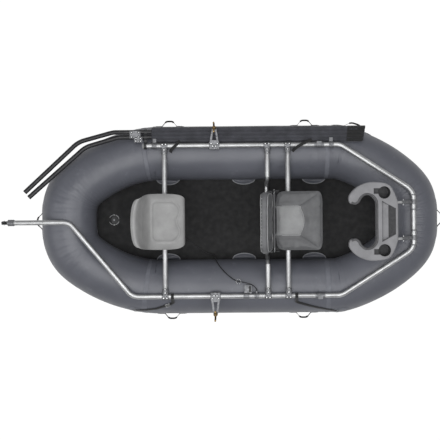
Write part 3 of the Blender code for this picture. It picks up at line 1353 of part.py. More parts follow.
def rope_route(coil):
    """The anchor rope from its eye, past the cleat and over the tube, along the floor."""
    exit_y = -RAIL_Y + RAIL_RADIUS + EYE_WALL + EYE_BOSS_REACH + GAP
    floor = rope_rest()
    lift = ROPE_RADIUS + ROPE_HULL_CLEARANCE
    over = [
        hull_surface(x, STARBOARD, turn, lift)[0]
        for x, turn in (
            (-0.030, math.radians(-17)), (-0.090, math.radians(-27)), (-0.145, math.radians(-42)),
            (-0.185, math.radians(-60)), (-0.205, math.radians(-80)),
        )
    ]
    onward = (coil[1] - coil[0]).normalized()
    lead = coil[0] - onward * 6 * ROPE_RADIUS
    points = [
        (EYE_X, exit_y, RAIL_Z), (EYE_X - 0.002, exit_y + 0.014, RAIL_Z), (0.112, -0.541, RAIL_Z + 0.006),
        (0.074, -0.522, RAIL_Z + 0.009), (0.030, -0.511, RAIL_Z + 0.0085), *over,
        (-0.212, -0.318, 0.205), (-0.224, -0.313, 0.150), (-0.252, -0.306, floor + 0.010),
        (-0.300, -0.288, floor + ROPE_CLEARANCE), (-0.360, -0.245, floor), (-0.430, -0.190, floor),
        (-0.510, -0.160, floor), lead, coil[0] - onward * 2 * ROPE_RADIUS, coil[0] - onward * GAP,
    ]
    return smooth_route(points, ROUTE_STEPS)


def make_rope():
    coil = coil_points()
    print("least gap in the coil, mm:", round(1000 * least_gap(coil, ROPE_RADIUS, COIL_TURN_POINTS // 2), 2))
    make_part("anchor_rope_coil", ROPE, wire(coil, ROPE_RADIUS, ROPE_SIDES))
    route = rope_route(coil)
    make_part("anchor_rope", ROPE, wire(route, ROPE_RADIUS, ROPE_SIDES))
    length = sum((end - start).length for start, end in zip(route, route[1:]))
    length += sum((end - start).length for start, end in zip(coil, coil[1:]))
    print("anchor rope, m:", round(length, 3))


def hull_at(arc):
    """The tube's centre and outward direction at a distance round it from the stern's middle."""
    line = half_centreline()
    total = sum((end - start).length for start, end in zip(line, line[1:]))
    side = 1
    if arc < 0:
        arc, side = -arc, -1
    if arc > total:
        arc, side = 2 * total - arc, -1
    outwards = mitres(line)
    for start, end, first, second in zip(line, line[1:], outwards, outwards[1:]):
        span = (end - start).length
        if arc <= span or end is line[-1]:
            break
        arc -= span
    centre = start.lerp(end, arc / span)
    outward = first.lerp(second, arc / span)
    centre.z = HULL_TUBE_RADIUS + kick(centre.x)
    return Vector((centre.x, side * centre.y, centre.z)), Vector((outward.x, side * outward.y, 0))


def hull_corners():
    """Distances round the tube from the stern's middle to its corners, both ways."""
    line = half_centreline()
    arcs = [0]
    for start, end in zip(line, line[1:]):
        arcs.append(arcs[-1] + (end - start).length)
    beyond = [2 * arcs[-1] - arc for arc in arcs[1:-1]]
    return [-arc for arc in arcs[1:]] + arcs + beyond


def arc_at_x(x):
    line = half_centreline()
    arc = 0
    for start, end in zip(line, line[1:]):
        if end.x > x:
            return arc + (end - start).length * (x - start.x) / (end.x - start.x)
        arc += (end - start).length
    return arc


def make_handle(name, arc, side=PORT):
    """A webbing loop whose flat ends are bonded to the hull's outer side."""
    base = HULL_TUBE_RADIUS + WEBBING_THICKNESS / 2 + GAP
    half = HANDLE_LENGTH / 2
    places = [half * step / HANDLE_STEPS for step in range(-HANDLE_STEPS, HANDLE_STEPS + 1)]
    places += [corner - arc for corner in hull_corners() if abs(corner - arc) < half]
    path = []
    for place in sorted(places):
        lift = math.cos(math.pi * place / HANDLE_GRIP) ** 2 if abs(place) < HANDLE_GRIP / 2 else 0
        centre, outward = hull_at(arc + place)
        spot = centre + outward * (base + lift * HANDLE_BOW)
        path.append((spot.x, side * spot.y))
    level = hull_at(arc)[0].z
    strip = ribbon(path, HANDLE_WIDTH, WEBBING_THICKNESS, Matrix.Translation((0, 0, level)))
    make_part(name, WEBBING, strip)


def make_handles():
    for name, (x, side) in SIDE_HANDLES.items():
        make_handle(name, arc_at_x(x), side)
    line = half_centreline()
    total = sum((end - start).length for start, end in zip(line, line[1:]))
    make_handle("handle_stern", 0)
    make_handle("handle_bow", total)


def strap_path(rail_x, hull_x, side, end_turn):
    """Points down the middle of a strap, over the rail and on to the hull, with their normals."""
    lift = WEBBING_THICKNESS / 2 + STRAP_CLEARANCE
    rays = []
    for step in range(STRAP_RAIL_STEPS + 1):
        turn = STRAP_RAIL_START + (STRAP_RAIL_END - STRAP_RAIL_START) * step / STRAP_RAIL_STEPS
        ray = Vector((0, side * math.sin(turn), math.cos(turn)))
        rays.append((Vector((0, side * RAIL_Y, RAIL_Z)) + ray * (RAIL_RADIUS + lift), ray))
    wrap = len(rays)
    count = wrap + STRAP_STEPS
    start_turn = math.atan2(RAIL_Y + STRAP_TOUCH_REACH - HULL_HALF, HULL_TUBE_RADIUS)
    path = []
    for step in range(count):
        x = rail_x + (hull_x - rail_x) * max(0, step - wrap) / (STRAP_STEPS - 1)
        if step < wrap:
            spot, ray = rays[step]
            path.append((Vector((x, spot.y, spot.z)), ray))
        else:
            turn = start_turn + (end_turn - start_turn) * (step - wrap) / (STRAP_STEPS - 1)
            path.append(hull_surface(x, side, turn, lift))
    return path


def strap_frames(path):
    """At each point: the point, its normal and the direction across the webbing."""
    frames = []
    for place, (spot, ray) in enumerate(path):
        before = path[max(0, place - 1)][0]
        after = path[min(len(path) - 1, place + 1)][0]
        across = ray.cross(after - before).normalized()
        frames.append((spot, ray, across))
    return frames


def make_strap(name, frames):
    shape = bmesh.new()
    rows = []
    for spot, ray, across in frames:
        wide = across * STRAP_WIDTH / 2
        thick = ray * WEBBING_THICKNESS / 2
        corners = ((wide, thick), (-wide, thick), (-wide, -thick), (wide, -thick))
        rows.append([shape.verts.new(spot + w + t) for w, t in corners])
    for start, end in zip(rows, rows[1:]):
        for corner in range(len(start)):
            following = (corner + 1) % len(start)
            shape.faces.new((start[corner], start[following], end[following], end[corner]))
    shape.faces.new(rows[0])
    shape.faces.new(reversed(rows[-1]))
    bmesh.ops.recalc_face_normals(shape, faces=shape.faces)
    make_part(name, WEBBING, from_bmesh(name, shape))


def make_straps():
    for name, (rail_x, hull_x, side, end_turn) in FRAME_STRAPS.items():
        frames = strap_frames(strap_path(rail_x, hull_x, side, end_turn))
        make_strap(name, frames)
        if name == "strap_starboard_stern":
            make_buckle(frames[int(len(frames) * BUCKLE_SHARE)])


def make_buckle(frame):
    """A cam buckle seated on the strap."""
    spot, ray, across = frame
    along = across.cross(ray)
    base = WEBBING_THICKNESS / 2 + 4 * GAP
    half = Vector((BUCKLE_LENGTH / 2, BUCKLE_WIDTH / 2, 0))
    body = block((-half.x, -half.y, base), (half.x, half.y, base + BUCKLE_HEIGHT), BUCKLE_HEIGHT / 4)
    turn = Matrix((along, across, ray)).transposed().to_4x4()
    body.data.transform(Matrix.Translation(spot) @ turn)
    make_part("strap_buckle", STEEL, body)


clear_scene()
RAFT = new_collection("fishing_raft")
TOOLS = new_collection("cutters")
TOOLS.hide_render = True
HULL_FABRIC = finish_of("coated hull fabric", "5e6068", 0.50)
FLOOR_FOAM = finish_of("black deck foam", "262626", 0.85)
ALUMINIUM = finish_of("clear anodised aluminium", "c6c7c8", 0.32, 1.0)
STEEL = finish_of("stainless steel", "b4b5b5", 0.30, 1.0)
BRASS = finish_of("bronze", "9a7d48", 0.35, 1.0)
RUBBER = finish_of("black rubber", "1c1c1d", 0.70)
BLACK_NYLON = finish_of("black nylon", "202021", 0.50)
DARK_PLASTIC = finish_of("dark moulded plastic", "2c2d2f", 0.50)
SEAT_PLASTIC = finish_of("light grey moulded plastic", "999999", 0.45)
SEAT_FABRIC = finish_of("grey vinyl seat cover", "68696b", 0.60)
BRACE_PLASTIC = finish_of("grey rotomoulded plastic", "848487", 0.50)
ROD_PLASTIC = finish_of("dark grey tube plastic", "3a3a3e", 0.45)
SLEEVE_FABRIC = finish_of("dark sleeve fabric", "3b3c42", 0.80)
ROPE = finish_of("black braided rope", "1e1e1f", 0.85)
WEBBING = finish_of("black webbing", "1d1d1e", 0.80)

make_hull()
make_floor()
make_floor_valve()
make_side_rails()
HOOP_Z = make_bow_hoop()
for hull_side in (PORT, STARBOARD):
    make_slip_joint(hull_side)
    make_oarlock_holder(hull_side)
    make_oarlock(hull_side)
make_crossbars()
make_anchor_head()
make_rower_seat_clamp(make_rower_seat())
make_front_seat()
make_front_seat_back()
make_lean_brace()
make_brace_posts(HOOP_Z)
make_rod_tubes()
make_rod_clamp()
make_rod_sleeve()
make_sleeve_hangers()
make_cleat()
make_rope_eye()
make_rope()
make_handles()
make_straps()
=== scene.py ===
# %% [markdown]
# # A two-seat inflatable fishing raft
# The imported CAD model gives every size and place. This script dresses it: the camera and the
# rope first, then the finishes, then each piece from the hull up to the seats.

# %% Load the frame
import json
import math

import bmesh
import bpy
import numpy as np
from mathutils import Matrix, Vector
from mathutils.bvhtree import BVHTree

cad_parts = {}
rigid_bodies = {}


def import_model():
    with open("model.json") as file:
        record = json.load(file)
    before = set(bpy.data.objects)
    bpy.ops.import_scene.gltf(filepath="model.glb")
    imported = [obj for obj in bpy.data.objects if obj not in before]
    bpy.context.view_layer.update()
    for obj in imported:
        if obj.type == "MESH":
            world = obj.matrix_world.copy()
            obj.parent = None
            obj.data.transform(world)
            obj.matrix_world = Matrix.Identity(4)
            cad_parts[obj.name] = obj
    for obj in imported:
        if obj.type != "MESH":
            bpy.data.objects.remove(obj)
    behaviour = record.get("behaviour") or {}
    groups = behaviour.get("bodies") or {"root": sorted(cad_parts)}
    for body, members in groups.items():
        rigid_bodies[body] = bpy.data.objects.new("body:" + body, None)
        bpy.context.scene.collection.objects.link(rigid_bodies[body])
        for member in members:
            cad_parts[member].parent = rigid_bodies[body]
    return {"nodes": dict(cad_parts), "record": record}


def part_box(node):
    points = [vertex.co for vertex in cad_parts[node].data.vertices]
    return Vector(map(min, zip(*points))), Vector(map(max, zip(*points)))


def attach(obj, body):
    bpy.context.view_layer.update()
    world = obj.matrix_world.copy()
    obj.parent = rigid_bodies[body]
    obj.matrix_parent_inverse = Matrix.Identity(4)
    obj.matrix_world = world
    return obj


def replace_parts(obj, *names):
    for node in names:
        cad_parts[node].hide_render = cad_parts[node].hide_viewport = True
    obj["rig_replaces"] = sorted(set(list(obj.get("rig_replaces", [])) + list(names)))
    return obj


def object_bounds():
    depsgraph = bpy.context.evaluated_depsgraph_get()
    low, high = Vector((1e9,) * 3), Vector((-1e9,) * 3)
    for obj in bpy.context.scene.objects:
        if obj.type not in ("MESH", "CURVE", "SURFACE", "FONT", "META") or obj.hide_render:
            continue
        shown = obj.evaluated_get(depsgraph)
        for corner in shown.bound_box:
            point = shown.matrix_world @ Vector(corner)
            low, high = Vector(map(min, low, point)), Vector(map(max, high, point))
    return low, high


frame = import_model()
NODES = frame["nodes"]
BODY_OF = {
    node: body
    for body, nodes in frame["record"]["behaviour"]["bodies"].items() for node in nodes
}
SLOT_OF = {part["node"]: part["material_slot"] for part in frame["record"]["subparts"]}
CAD_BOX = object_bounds()
PORT = 1
STARBOARD = -1
SIDES = ((PORT, "port"), (STARBOARD, "starboard"))
print("CAD nodes:", len(NODES), "on bodies:", sorted(set(BODY_OF.values())))

# %% [markdown]
# The photograph looks straight down from about 7.5 m above the middle of the hull's tubes, a
# little to port, and the raft lies about half a degree anticlockwise in it. One pixel covers
# 8.59 mm there. A lens shift, not a tilt, puts the raft where the photograph has it.

# %% Camera
IMAGE_SIZE = 440
PIXEL = 0.008587
TUBE_RADIUS = 0.2285
CAMERA_HEIGHT = 7.5
CAMERA_PORT = 0.32
ROLL = math.radians(-0.5)
ORIGIN_PIXEL = (239.1, 219.3)
camera_data = bpy.data.cameras.new("camera")
camera_data.lens = camera_data.sensor_width * CAMERA_HEIGHT / (IMAGE_SIZE * PIXEL)
camera = bpy.data.objects.new("camera", camera_data)
bpy.context.scene.collection.objects.link(camera)
camera.location = (0, CAMERA_PORT, TUBE_RADIUS + CAMERA_HEIGHT)
camera.rotation_euler = (0, 0, ROLL)
principal = (ORIGIN_PIXEL[0], ORIGIN_PIXEL[1] - CAMERA_PORT / PIXEL)
camera_data.shift_x = (IMAGE_SIZE / 2 - principal[0]) / IMAGE_SIZE
camera_data.shift_y = (principal[1] - IMAGE_SIZE / 2) / IMAGE_SIZE
camera_data.clip_end = 60
bpy.context.scene.camera = camera
print("camera lens, mm:", round(camera_data.lens, 1))

# %% [markdown]
# Small helpers come next: hex colours turned to linear values, one function that adds a shader
# node, and one that starts a material on its Principled shader.

# %% Helpers for materials
def linear(code):
    """A linear colour from an sRGB hex code."""
    channels = [int(code[place:place + 2], 16) / 255 for place in (0, 2, 4)]
    return [c / 12.92 if c <= 0.04045 else ((c + 0.055) / 1.055) ** 2.4 for c in channels] + [1]


def add(tree, kind, settings=None, **inputs):
    """A shader node with its settings; each input is a value or another node's socket."""
    made = tree.nodes.new("ShaderNode" + kind)
    for name, value in (settings or {}).items():
        setattr(made, name, value)
    for name, value in inputs.items():
        numbered = name.startswith("in") and name[2:].isdigit()
        socket = made.inputs[int(name[2:])] if numbered else made.inputs[name.replace("_", " ")]
        if isinstance(value, bpy.types.NodeSocket):
            tree.links.new(value, socket)
        else:
            socket.default_value = value
    return made


def finish(name, roughness, metallic=0.0, **sockets):
    """A new material: its tree, its Principled shader, and its Object and UV coordinates."""
    made = bpy.data.materials.new(name)
    made.use_nodes = True
    tree = made.node_tree
    shader = tree.nodes["Principled BSDF"]
    shader.inputs["Roughness"].default_value = roughness
    shader.inputs["Metallic"].default_value = metallic
    for socket, value in sockets.items():
        shader.inputs[socket.replace("_", " ")].default_value = value
    coordinates = add(tree, "TexCoord")
    return made, tree, shader, coordinates.outputs["Object"], coordinates.outputs["UV"]


def noise(tree, place, size, detail=3.0, rough=0.5):
    """Soft noise from 0 to 1 whose features are about size metres wide."""
    made = add(tree, "TexNoise", Vector=place, Scale=1 / size, Detail=detail, Roughness=rough)
    return made.outputs["Fac"]


def ramp(tree, value, low, high, start=0.0, end=1.0):
    """A value squeezed so that start gives low and end gives high."""
    made = add(tree, "MapRange", None, Value=value)
    made.inputs["From Min"].default_value = start
    made.inputs["From Max"].default_value = end
    made.inputs["To Min"].default_value = low
    made.inputs["To Max"].default_value = high
    return made.outputs["Result"]


def mixed(tree, share, first, second):
    """Two colours, each an sRGB code or a socket, blended by a share."""
    first, second = (linear(c) if isinstance(c, str) else c for c in (first, second))
    return add(tree, "MixRGB", Fac=share, Color1=first, Color2=second).outputs["Color"]


def blotch(tree, place, size, low, high, detail=4.0):
    """Two sRGB colours blended by soft noise whose blotches are about size metres wide."""
    return mixed(tree, ramp(tree, noise(tree, place, size, detail), 0, 1, 0.32, 0.68), low, high)


def scuffed(tree, place, base, mark, size, amount, stretch=(1, 1, 1)):
    """Thin scattered marks over a base colour; also the share that is marked."""
    spread = add(tree, "Mapping", Vector=place, Scale=stretch).outputs["Vector"]
    share = ramp(tree, noise(tree, spread, size, 6.0, 0.7), 0, amount, 0.60, 0.74)
    return mixed(tree, share, base, mark), share


def weave(tree, place, pitch):
    """The height of crossed yarns, from UV coordinates in metres."""
    waves = [
        add(tree, "TexWave", {"wave_type": "BANDS", "bands_direction": way}, Vector=place,
            Scale=1 / (pitch * 20), Distortion=0.4).outputs["Fac"]
        for way in ("X", "Y")
    ]
    return add(tree, "Math", {"operation": "MULTIPLY"}, in0=waves[0], in1=waves[1]).outputs[0]


def bump(tree, shader, height, distance, under=None):
    """Relief of that many metres from a height socket, over an earlier bump if there is one."""
    made = add(tree, "Bump", Height=height, Distance=distance)
    if under is not None:
        tree.links.new(under.outputs["Normal"], made.inputs["Normal"])
    tree.links.new(made.outputs["Normal"], shader.inputs["Normal"])
    return made


def paint(tree, shader, colour):
    """Joins a colour to the shader."""
    tree.links.new(colour, shader.inputs["Base Color"])


def gloss(tree, shader, place, size, low, high):
    """Roughness that wanders between two values."""
    tree.links.new(ramp(tree, noise(tree, place, size), low, high, 0.3, 0.7), shader.inputs["Roughness"])


def rubbed(name, roughness, tones, marks, metallic=0.0):
    """A material of blotchy tone, (size, low, high), under marks of wear, (colour, size, amount)."""
    made, tree, shader, place, across = finish(name, roughness, metallic)
    worn, _ = scuffed(tree, place, blotch(tree, place, *tones), *marks)
    paint(tree, shader, worn)
    return made, tree, shader, place, across


# %% [markdown]
# The finishes come next. Each starts from what the real surface is: its pattern at its real
# size, uneven gloss, and marks where it rubs. The hull is polyester cloth coated with PVC. The
# coating makes it satin, the weave shows through it finely, the tone changes broadly over the
# panels, and dust lies on it faintly. Noise could paint all of this, and so it needs no picture.

# %% Hull cloth
hull_fabric, tree, shader, place, across = finish("PVC-coated polyester", 0.42)
tone = blotch(tree, place, 0.55, "585a62", "64666e")
dusty, _ = scuffed(tree, place, tone, "80828a", 0.09, 0.35)
paint(tree, shader, dusty)
gloss(tree, shader, place, 0.12, 0.36, 0.50)
slack = bump(tree, shader, noise(tree, place, 0.16, 2.0), 0.0035)
bump(tree, shader, weave(tree, across, 0.0012), 0.00012, slack)
shader.inputs["Coat Weight"].default_value = 0.18
shader.inputs["Coat Roughness"].default_value = 0.30

# The same cloth where it is doubled, as on seam tape and patches, looks a little lighter
tape_fabric, tree, shader, place, across = finish("hull seam tape", 0.45)
paint(tree, shader, blotch(tree, place, 0.05, "64666e", "70727a"))
bump(tree, shader, weave(tree, across, 0.0012), 0.00015)

trim_fabric, tree, shader, place, across = rubbed(
    "light floor trim", 0.5, (0.04, "6f7177", "8b8d92"), ("4b4c50", 0.02, 0.5),
)
bump(tree, shader, noise(tree, place, 0.004), 0.0003)
print("cloth finishes:", hull_fabric.name, "|", tape_fabric.name, "|", trim_fabric.name)

# %% [markdown]
# The floor is covered with EVA foam: near black, matt and pebbled, with pale dust in its low
# spots. A Voronoi pattern with cells of 5 mm stands for the pebbles. Real ones are finer, but
# they would be too small to show in the render.

# %% Deck foam
deck_foam, tree, shader, place, across = rubbed(
    "EVA deck foam", 0.85, (0.45, "1b1b1c", "232324"), ("363637", 0.07, 0.30),
)
gloss(tree, shader, place, 0.05, 0.72, 0.92)
pebble = add(tree, "TexVoronoi", Vector=place, Scale=1 / 0.005)
bump(tree, shader, pebble.outputs["Distance"], 0.0005)
print("floor finish:", deck_foam.name)

# %% [markdown]
# The metals: drawn and anodised tube, cast fittings, bright posts, stainless screws and bronze
# oarlocks. All are fully metallic but the posts, and what tells them apart is how rough they are
# and how their grain runs. The tube's grain follows it, so it reads the piece's own UV map.

# %% Metals
# Clear anodised tube: bright, a drawn grain along it, dull patches and fine scratches
aluminium, tree, shader, place, across = rubbed(
    "clear anodised aluminium", 0.30, (0.06, "c0c1c2", "d6d7d8"), ("8f9092", 0.012, 0.55), metallic=1.0,
)
gloss(tree, shader, place, 0.03, 0.40, 0.56)
lengthways = add(tree, "Mapping", Vector=across, Scale=(900, 12, 1)).outputs["Vector"]
drawn = add(tree, "TexNoise", Vector=lengthways, Scale=1.0, Detail=2.0).outputs["Fac"]
bump(tree, shader, drawn, 0.00005)

# Cast and machined fittings: the same metal, a little duller, faintly pitted
fitting_metal, tree, shader, place, across = rubbed(
    "cast aluminium fittings", 0.5, (0.015, "808184", "9c9da0"), ("55565a", 0.006, 0.7), metallic=1.0,
)
gloss(tree, shader, place, 0.01, 0.50, 0.70)
bump(tree, shader, noise(tree, place, 0.0014), 0.00012)

# The brace's slotted posts: brightly anodised, so they stay light seen from any side
post_metal, tree, shader, place, across = rubbed(
    "bright anodised aluminium", 0.5, (0.015, "b6b7b8", "cccdce"), ("8a8b8d", 0.006, 0.4), metallic=0.25,
)
bump(tree, shader, noise(tree, place, 0.0014), 0.00006)

# Brushed steel: its streaks run one way, so the noise is stretched that way
stainless, tree, shader, place, across = rubbed(
    "brushed stainless steel", 0.26, (0.01, "a3a4a6", "c6c7c8"), ("6d6e70", 0.004, 0.5), metallic=1.0,
)
brushed = add(tree, "Mapping", Vector=place, Scale=(80, 1600, 1600)).outputs["Vector"]
bump(tree, shader, add(tree, "TexNoise", Vector=brushed, Scale=1.0).outputs["Fac"], 0.00004)

# Cast bronze, darker in its hollows and rubbed bright where the oars turn
bronze, tree, shader, place, across = rubbed(
    "cast bronze", 0.36, (0.012, "6c5636", "97815a"), ("b8a47c", 0.008, 0.7), metallic=1.0,
)
gloss(tree, shader, place, 0.008, 0.26, 0.52)
bump(tree, shader, noise(tree, place, 0.0016), 0.00012)
print("metals:", aluminium.name, "|", fitting_metal.name, "|", stainless.name, "|", bronze.name)

# %% [markdown]
# Rubber and moulded plastics: soft highlights, a faint grain from the mould, and paler marks
# where feet and gear have rubbed. The grain is noise or Voronoi cells of about 1 to 4 mm.

# %% Rubber and plastics
# Rolled grips of the carry handles
rubber, tree, shader, place, across = rubbed(
    "moulded rubber", 0.72, (0.01, "171717", "232323"), ("3c3c3c", 0.006, 0.6),
)
bump(tree, shader, noise(tree, place, 0.001), 0.0001)

# Washers
nylon, tree, shader, place, across = rubbed(
    "glass-filled nylon", 0.48, (0.01, "1a1a1b", "272728"), ("424244", 0.005, 0.6),
)
bump(tree, shader, noise(tree, place, 0.0008), 0.00008)

# Floor valve, seat arms and other dark mouldings
dark_plastic, tree, shader, place, across = rubbed(
    "moulded polypropylene", 0.48, (0.03, "252628", "343537"), ("505154", 0.01, 0.5),
)
bump(tree, shader, noise(tree, place, 0.0012), 0.0001)

# Moulded seat: a fine leather grain in light grey, faintly scuffed
seat_plastic, tree, shader, place, across = finish("moulded polyethylene", 0.44)
tone = blotch(tree, place, 0.10, "929292", "a0a0a0")
worn, _ = scuffed(tree, place, tone, "b9b9b9", 0.02, 0.4)
paint(tree, shader, worn)
gloss(tree, shader, place, 0.03, 0.36, 0.54)
cells = add(tree, "TexVoronoi", {"feature": "DISTANCE_TO_EDGE"}, Vector=place, Scale=1 / 0.0025)
bump(tree, shader, cells.outputs["Distance"], 0.00025)

# %% [markdown]
# Marine vinyl covers the front seat. Under its pebbled grain of 1.8 mm lie soft creases of some
# 35 mm, which come from the foam, so one bump is laid over another.

# %% Vinyl
def vinyl(name, low, high, mark):
    """Marine vinyl: a pebbled grain with soft creases."""
    made, tree, shader, place, _ = finish(name, 0.52)
    worn, _ = scuffed(tree, place, blotch(tree, place, 0.07, low, high), mark, 0.015, 0.35)
    paint(tree, shader, worn)
    gloss(tree, shader, place, 0.03, 0.42, 0.62)
    creases = bump(tree, shader, noise(tree, place, 0.035, 3.0, 0.6), 0.0022)
    cells = add(tree, "TexVoronoi", {"feature": "SMOOTH_F1"}, Vector=place, Scale=1 / 0.0018)
    bump(tree, shader, cells.outputs["Distance"], 0.00018, creases)
    return made


seat_vinyl = vinyl("dark grey marine vinyl", "5b5c5e", "68696b", "7d7e80")
panel_vinyl = vinyl("light grey marine vinyl", "8b8c8d", "9a9b9c", "adaeae")
piping_vinyl = vinyl("piping vinyl", "9fa0a1", "b4b5b6", "c4c5c5")
print("vinyls:", seat_vinyl.name, "|", panel_vinyl.name, "|", piping_vinyl.name)

# %% [markdown]
# The brace is rotomoulded: satin, with a fine orange-peel skin. Its liner and strip are rubber
# with studs, and the rod tubes are extruded, so their scratches run along them.

# %% Brace, trim and rod plastics
# Rotomoulded skin
brace_plastic, tree, shader, place, across = rubbed(
    "rotomoulded polyethylene", 0.48, (0.09, "7b7b7e", "8a8a8d"), ("a4a4a6", 0.02, 0.4),
)
gloss(tree, shader, place, 0.03, 0.40, 0.58)
bump(tree, shader, noise(tree, place, 0.003, 2.0), 0.0003)

# Liner in the brace's cups, notches and on its tray's slope: studded rubber relief, and a darker colour
# that is painted shade in these hollows
painted_shade_liner, tree, shader, place, across = rubbed(
    "brace liner with painted shade", 0.66, (0.02, "38383a", "474749"), ("5f5f61", 0.006, 0.5),
)
studs = add(tree, "TexVoronoi", {"feature": "F1"}, Vector=place, Scale=1 / 0.004)
bump(tree, shader, studs.outputs["Distance"], 0.0008)

# Ribbed strip along the brace's inner edge
strip_rubber, tree, shader, place, across = rubbed(
    "grip strip", 0.62, (0.02, "48484a", "58585a"), ("6c6c6e", 0.006, 0.5),
)
bump(tree, shader, noise(tree, place, 0.001), 0.0001)

# Edging of the floor's lips, its pale colour a painted highlight along their curved edges
painted_highlight_welt, tree, shader, place, across = rubbed(
    "light welt", 0.6, (0.03, "8e9094", "a0a2a6"), ("b2b3b6", 0.006, 0.5),
)

# The rail's stern end plug
cap_rubber, tree, shader, place, across = rubbed(
    "light grey rubber", 0.6, (0.01, "8c8d8e", "a2a3a4"), ("5a5b5c", 0.005, 0.6),
)
bump(tree, shader, noise(tree, place, 0.001), 0.0001)

# Extruded rod tube
rod_plastic, tree, shader, place, across = finish("extruded ABS", 0.40)
tone = blotch(tree, place, 0.05, "1e1e21", "2a2a2d")
worn, _ = scuffed(tree, across, tone, "46464a", 0.01, 0.5, (1, 0.2, 1))
paint(tree, shader, worn)
gloss(tree, shader, place, 0.04, 0.32, 0.50)
bump(tree, shader, noise(tree, place, 0.002), 0.00008)
print("plastics:", seat_plastic.name, "|", brace_plastic.name, "|", rod_plastic.name)

# %% [markdown]
# Woven covers, webbing and rope. Crossed waves make the yarns at their real pitch of 1.6 to
# 1.8 mm, and read the UV map, so they follow the cloth round its folds.

# %% Woven finishes
# Padded cover of the rod sleeve: matt, rumpled, faded where it faces the sun
sleeve_fabric, tree, shader, place, across = rubbed(
    "woven nylon cover", 0.8, (0.07, "313238", "42434a"), ("5a5b62", 0.03, 0.5),
)
rumple = bump(tree, shader, noise(tree, place, 0.02, 3.0, 0.6), 0.0022)
bump(tree, shader, weave(tree, across, 0.0016), 0.0003, rumple)
shader.inputs["Sheen Weight"].default_value = 0.25

# Straps and handles
webbing, tree, shader, place, across = finish("polyester webbing", 0.78)
ribs = weave(tree, across, 0.0018)
faded = mixed(tree, ribs, "121213", "2b2b2c")
worn, _ = scuffed(tree, place, faded, "4a4a4b", 0.008, 0.6)
paint(tree, shader, worn)
bump(tree, shader, ribs, 0.0005)
shader.inputs["Sheen Weight"].default_value = 0.2

# Thread, also of the rope's whipping
stitch_thread, tree, shader, place, across = finish("stitching thread", 0.7)
paint(tree, shader, blotch(tree, place, 0.002, "2e2e2f", "4c4c4d"))
bump(tree, shader, noise(tree, place, 0.0006), 0.0002)

# Two sets of slanted waves cross, as the strands of a braid do
rope_braid, tree, shader, place, across = finish("braided polyester rope", 0.78)
strands = [
    add(tree, "TexWave", {"wave_type": "BANDS", "bands_direction": "DIAGONAL"}, Scale=1.0,
        Vector=add(tree, "Mapping", Vector=across, Scale=(turn * 22, 16, 0)).outputs["Vector"])
    for turn in (1, -1)
]
braid = add(
    tree, "Math", {"operation": "MAXIMUM"}, in0=strands[0].outputs["Fac"], in1=strands[1].outputs["Fac"],
).outputs[0]
paint(tree, shader, mixed(tree, braid, "0e0e0f", "2c2c2d"))
bump(tree, shader, braid, 0.0007)

FINISHES = {
    "hull_fabric": hull_fabric, "floor_foam": deck_foam, "aluminium": fitting_metal,
    "steel": stainless, "bronze": bronze, "rubber": cap_rubber, "black_nylon": nylon,
    "dark_plastic": dark_plastic, "seat_plastic": seat_plastic, "seat_fabric": seat_vinyl,
    "brace_plastic": brace_plastic, "rod_plastic": rod_plastic, "sleeve_fabric": sleeve_fabric,
    "rope": rope_braid, "webbing": webbing,
}
print("finishes for CAD slots:", len(FINISHES))

# %% [markdown]
# Each piece is told which body it rides on and which CAD node it stands for.

# %% Helpers for pieces
RAFT = "raft"


def placed(name, mesh, *finishes):
    """A new piece in the row frame with its finishes."""
    piece = bpy.data.objects.new(name, mesh)
    bpy.context.scene.collection.objects.link(piece)
    for made in finishes:
        mesh.materials.append(made)
    return piece


def showing(piece, node, body=None):
    """The piece stands for a CAD node, on the same body."""
    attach(piece, body or BODY_OF[node])
    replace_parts(piece, node)
    return piece


def riding(piece, body=RAFT):
    """A detail that no CAD node stands for."""
    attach(piece, body)
    return piece


# %% [markdown]
# Soft and swept pieces start from one operator, a flat grid. It is laid over rows of points, and
# its edges are then sewn together, so it becomes a pipe, a ring or a sheet. Its UV map is in
# metres and is set before the seam is sewn, which is why a pattern can run on across the seam.

# %% Helpers for swept shapes
def made_mesh(name, shape, outward=True):
    """The finished mesh of a bmesh: faces outward, smooth shading."""
    if outward:
        bmesh.ops.recalc_face_normals(shape, faces=shape.faces)
    mesh = bpy.data.meshes.new(name)
    shape.to_mesh(mesh)
    shape.free()
    mesh.shade_smooth()
    return mesh


def close_ends(shape, layer=None):
    """Fills every open ring of edges with one face."""
    ends = [edge for edge in shape.edges if edge.is_boundary]
    for face in bmesh.ops.edgeloop_fill(shape, edges=ends)["faces"]:
        for corner in face.loops:
            if layer is not None:
                corner[layer].uv = (0, 0)


def grid(name, rows, us=None, vs=None, around=False, along=False, capped=False, outward=True):
    """A grid laid over rows of points, sewn up round each row, end to end, or at its ends."""
    rows = [[Vector(point) for point in row] for row in rows]
    count, width = len(rows), len(rows[0])
    columns = width + around
    us = range(width + 1) if us is None else us
    vs = range(count + 1) if vs is None else vs
    shape = bmesh.new()
    layer = shape.loops.layers.uv.new("UVMap")
    bmesh.ops.create_grid(shape, x_segments=columns - 1, y_segments=count - 1 + along, size=1)
    knots = list(shape.verts)
    seam = {}
    for number, knot in enumerate(knots):
        row, column = divmod(number, columns)
        knot.co = rows[row % count][column % width]
        for corner in knot.link_loops:
            corner[layer].uv = (us[column], vs[row])
        if row >= count or column >= width:
            seam[knot] = knots[row % count * columns + column % width]
    bmesh.ops.weld_verts(shape, targetmap=seam)
    if capped:
        close_ends(shape, layer)
    return made_mesh(name, shape, outward)


# %% [markdown]
# A tube is a circle swept down a line. The frame that carries the circle turns with the line
# but never about it, so the tube doesn't twist.

# %% Helpers for tubes
def distances(points, closed=False):
    """How far along a line each of its points lies."""
    points = [Vector(p) for p in points]
    if closed:
        points = points + points[:1]
    far = [0.0]
    for start, end in zip(points, points[1:]):
        far.append(far[-1] + (end - start).length)
    return far


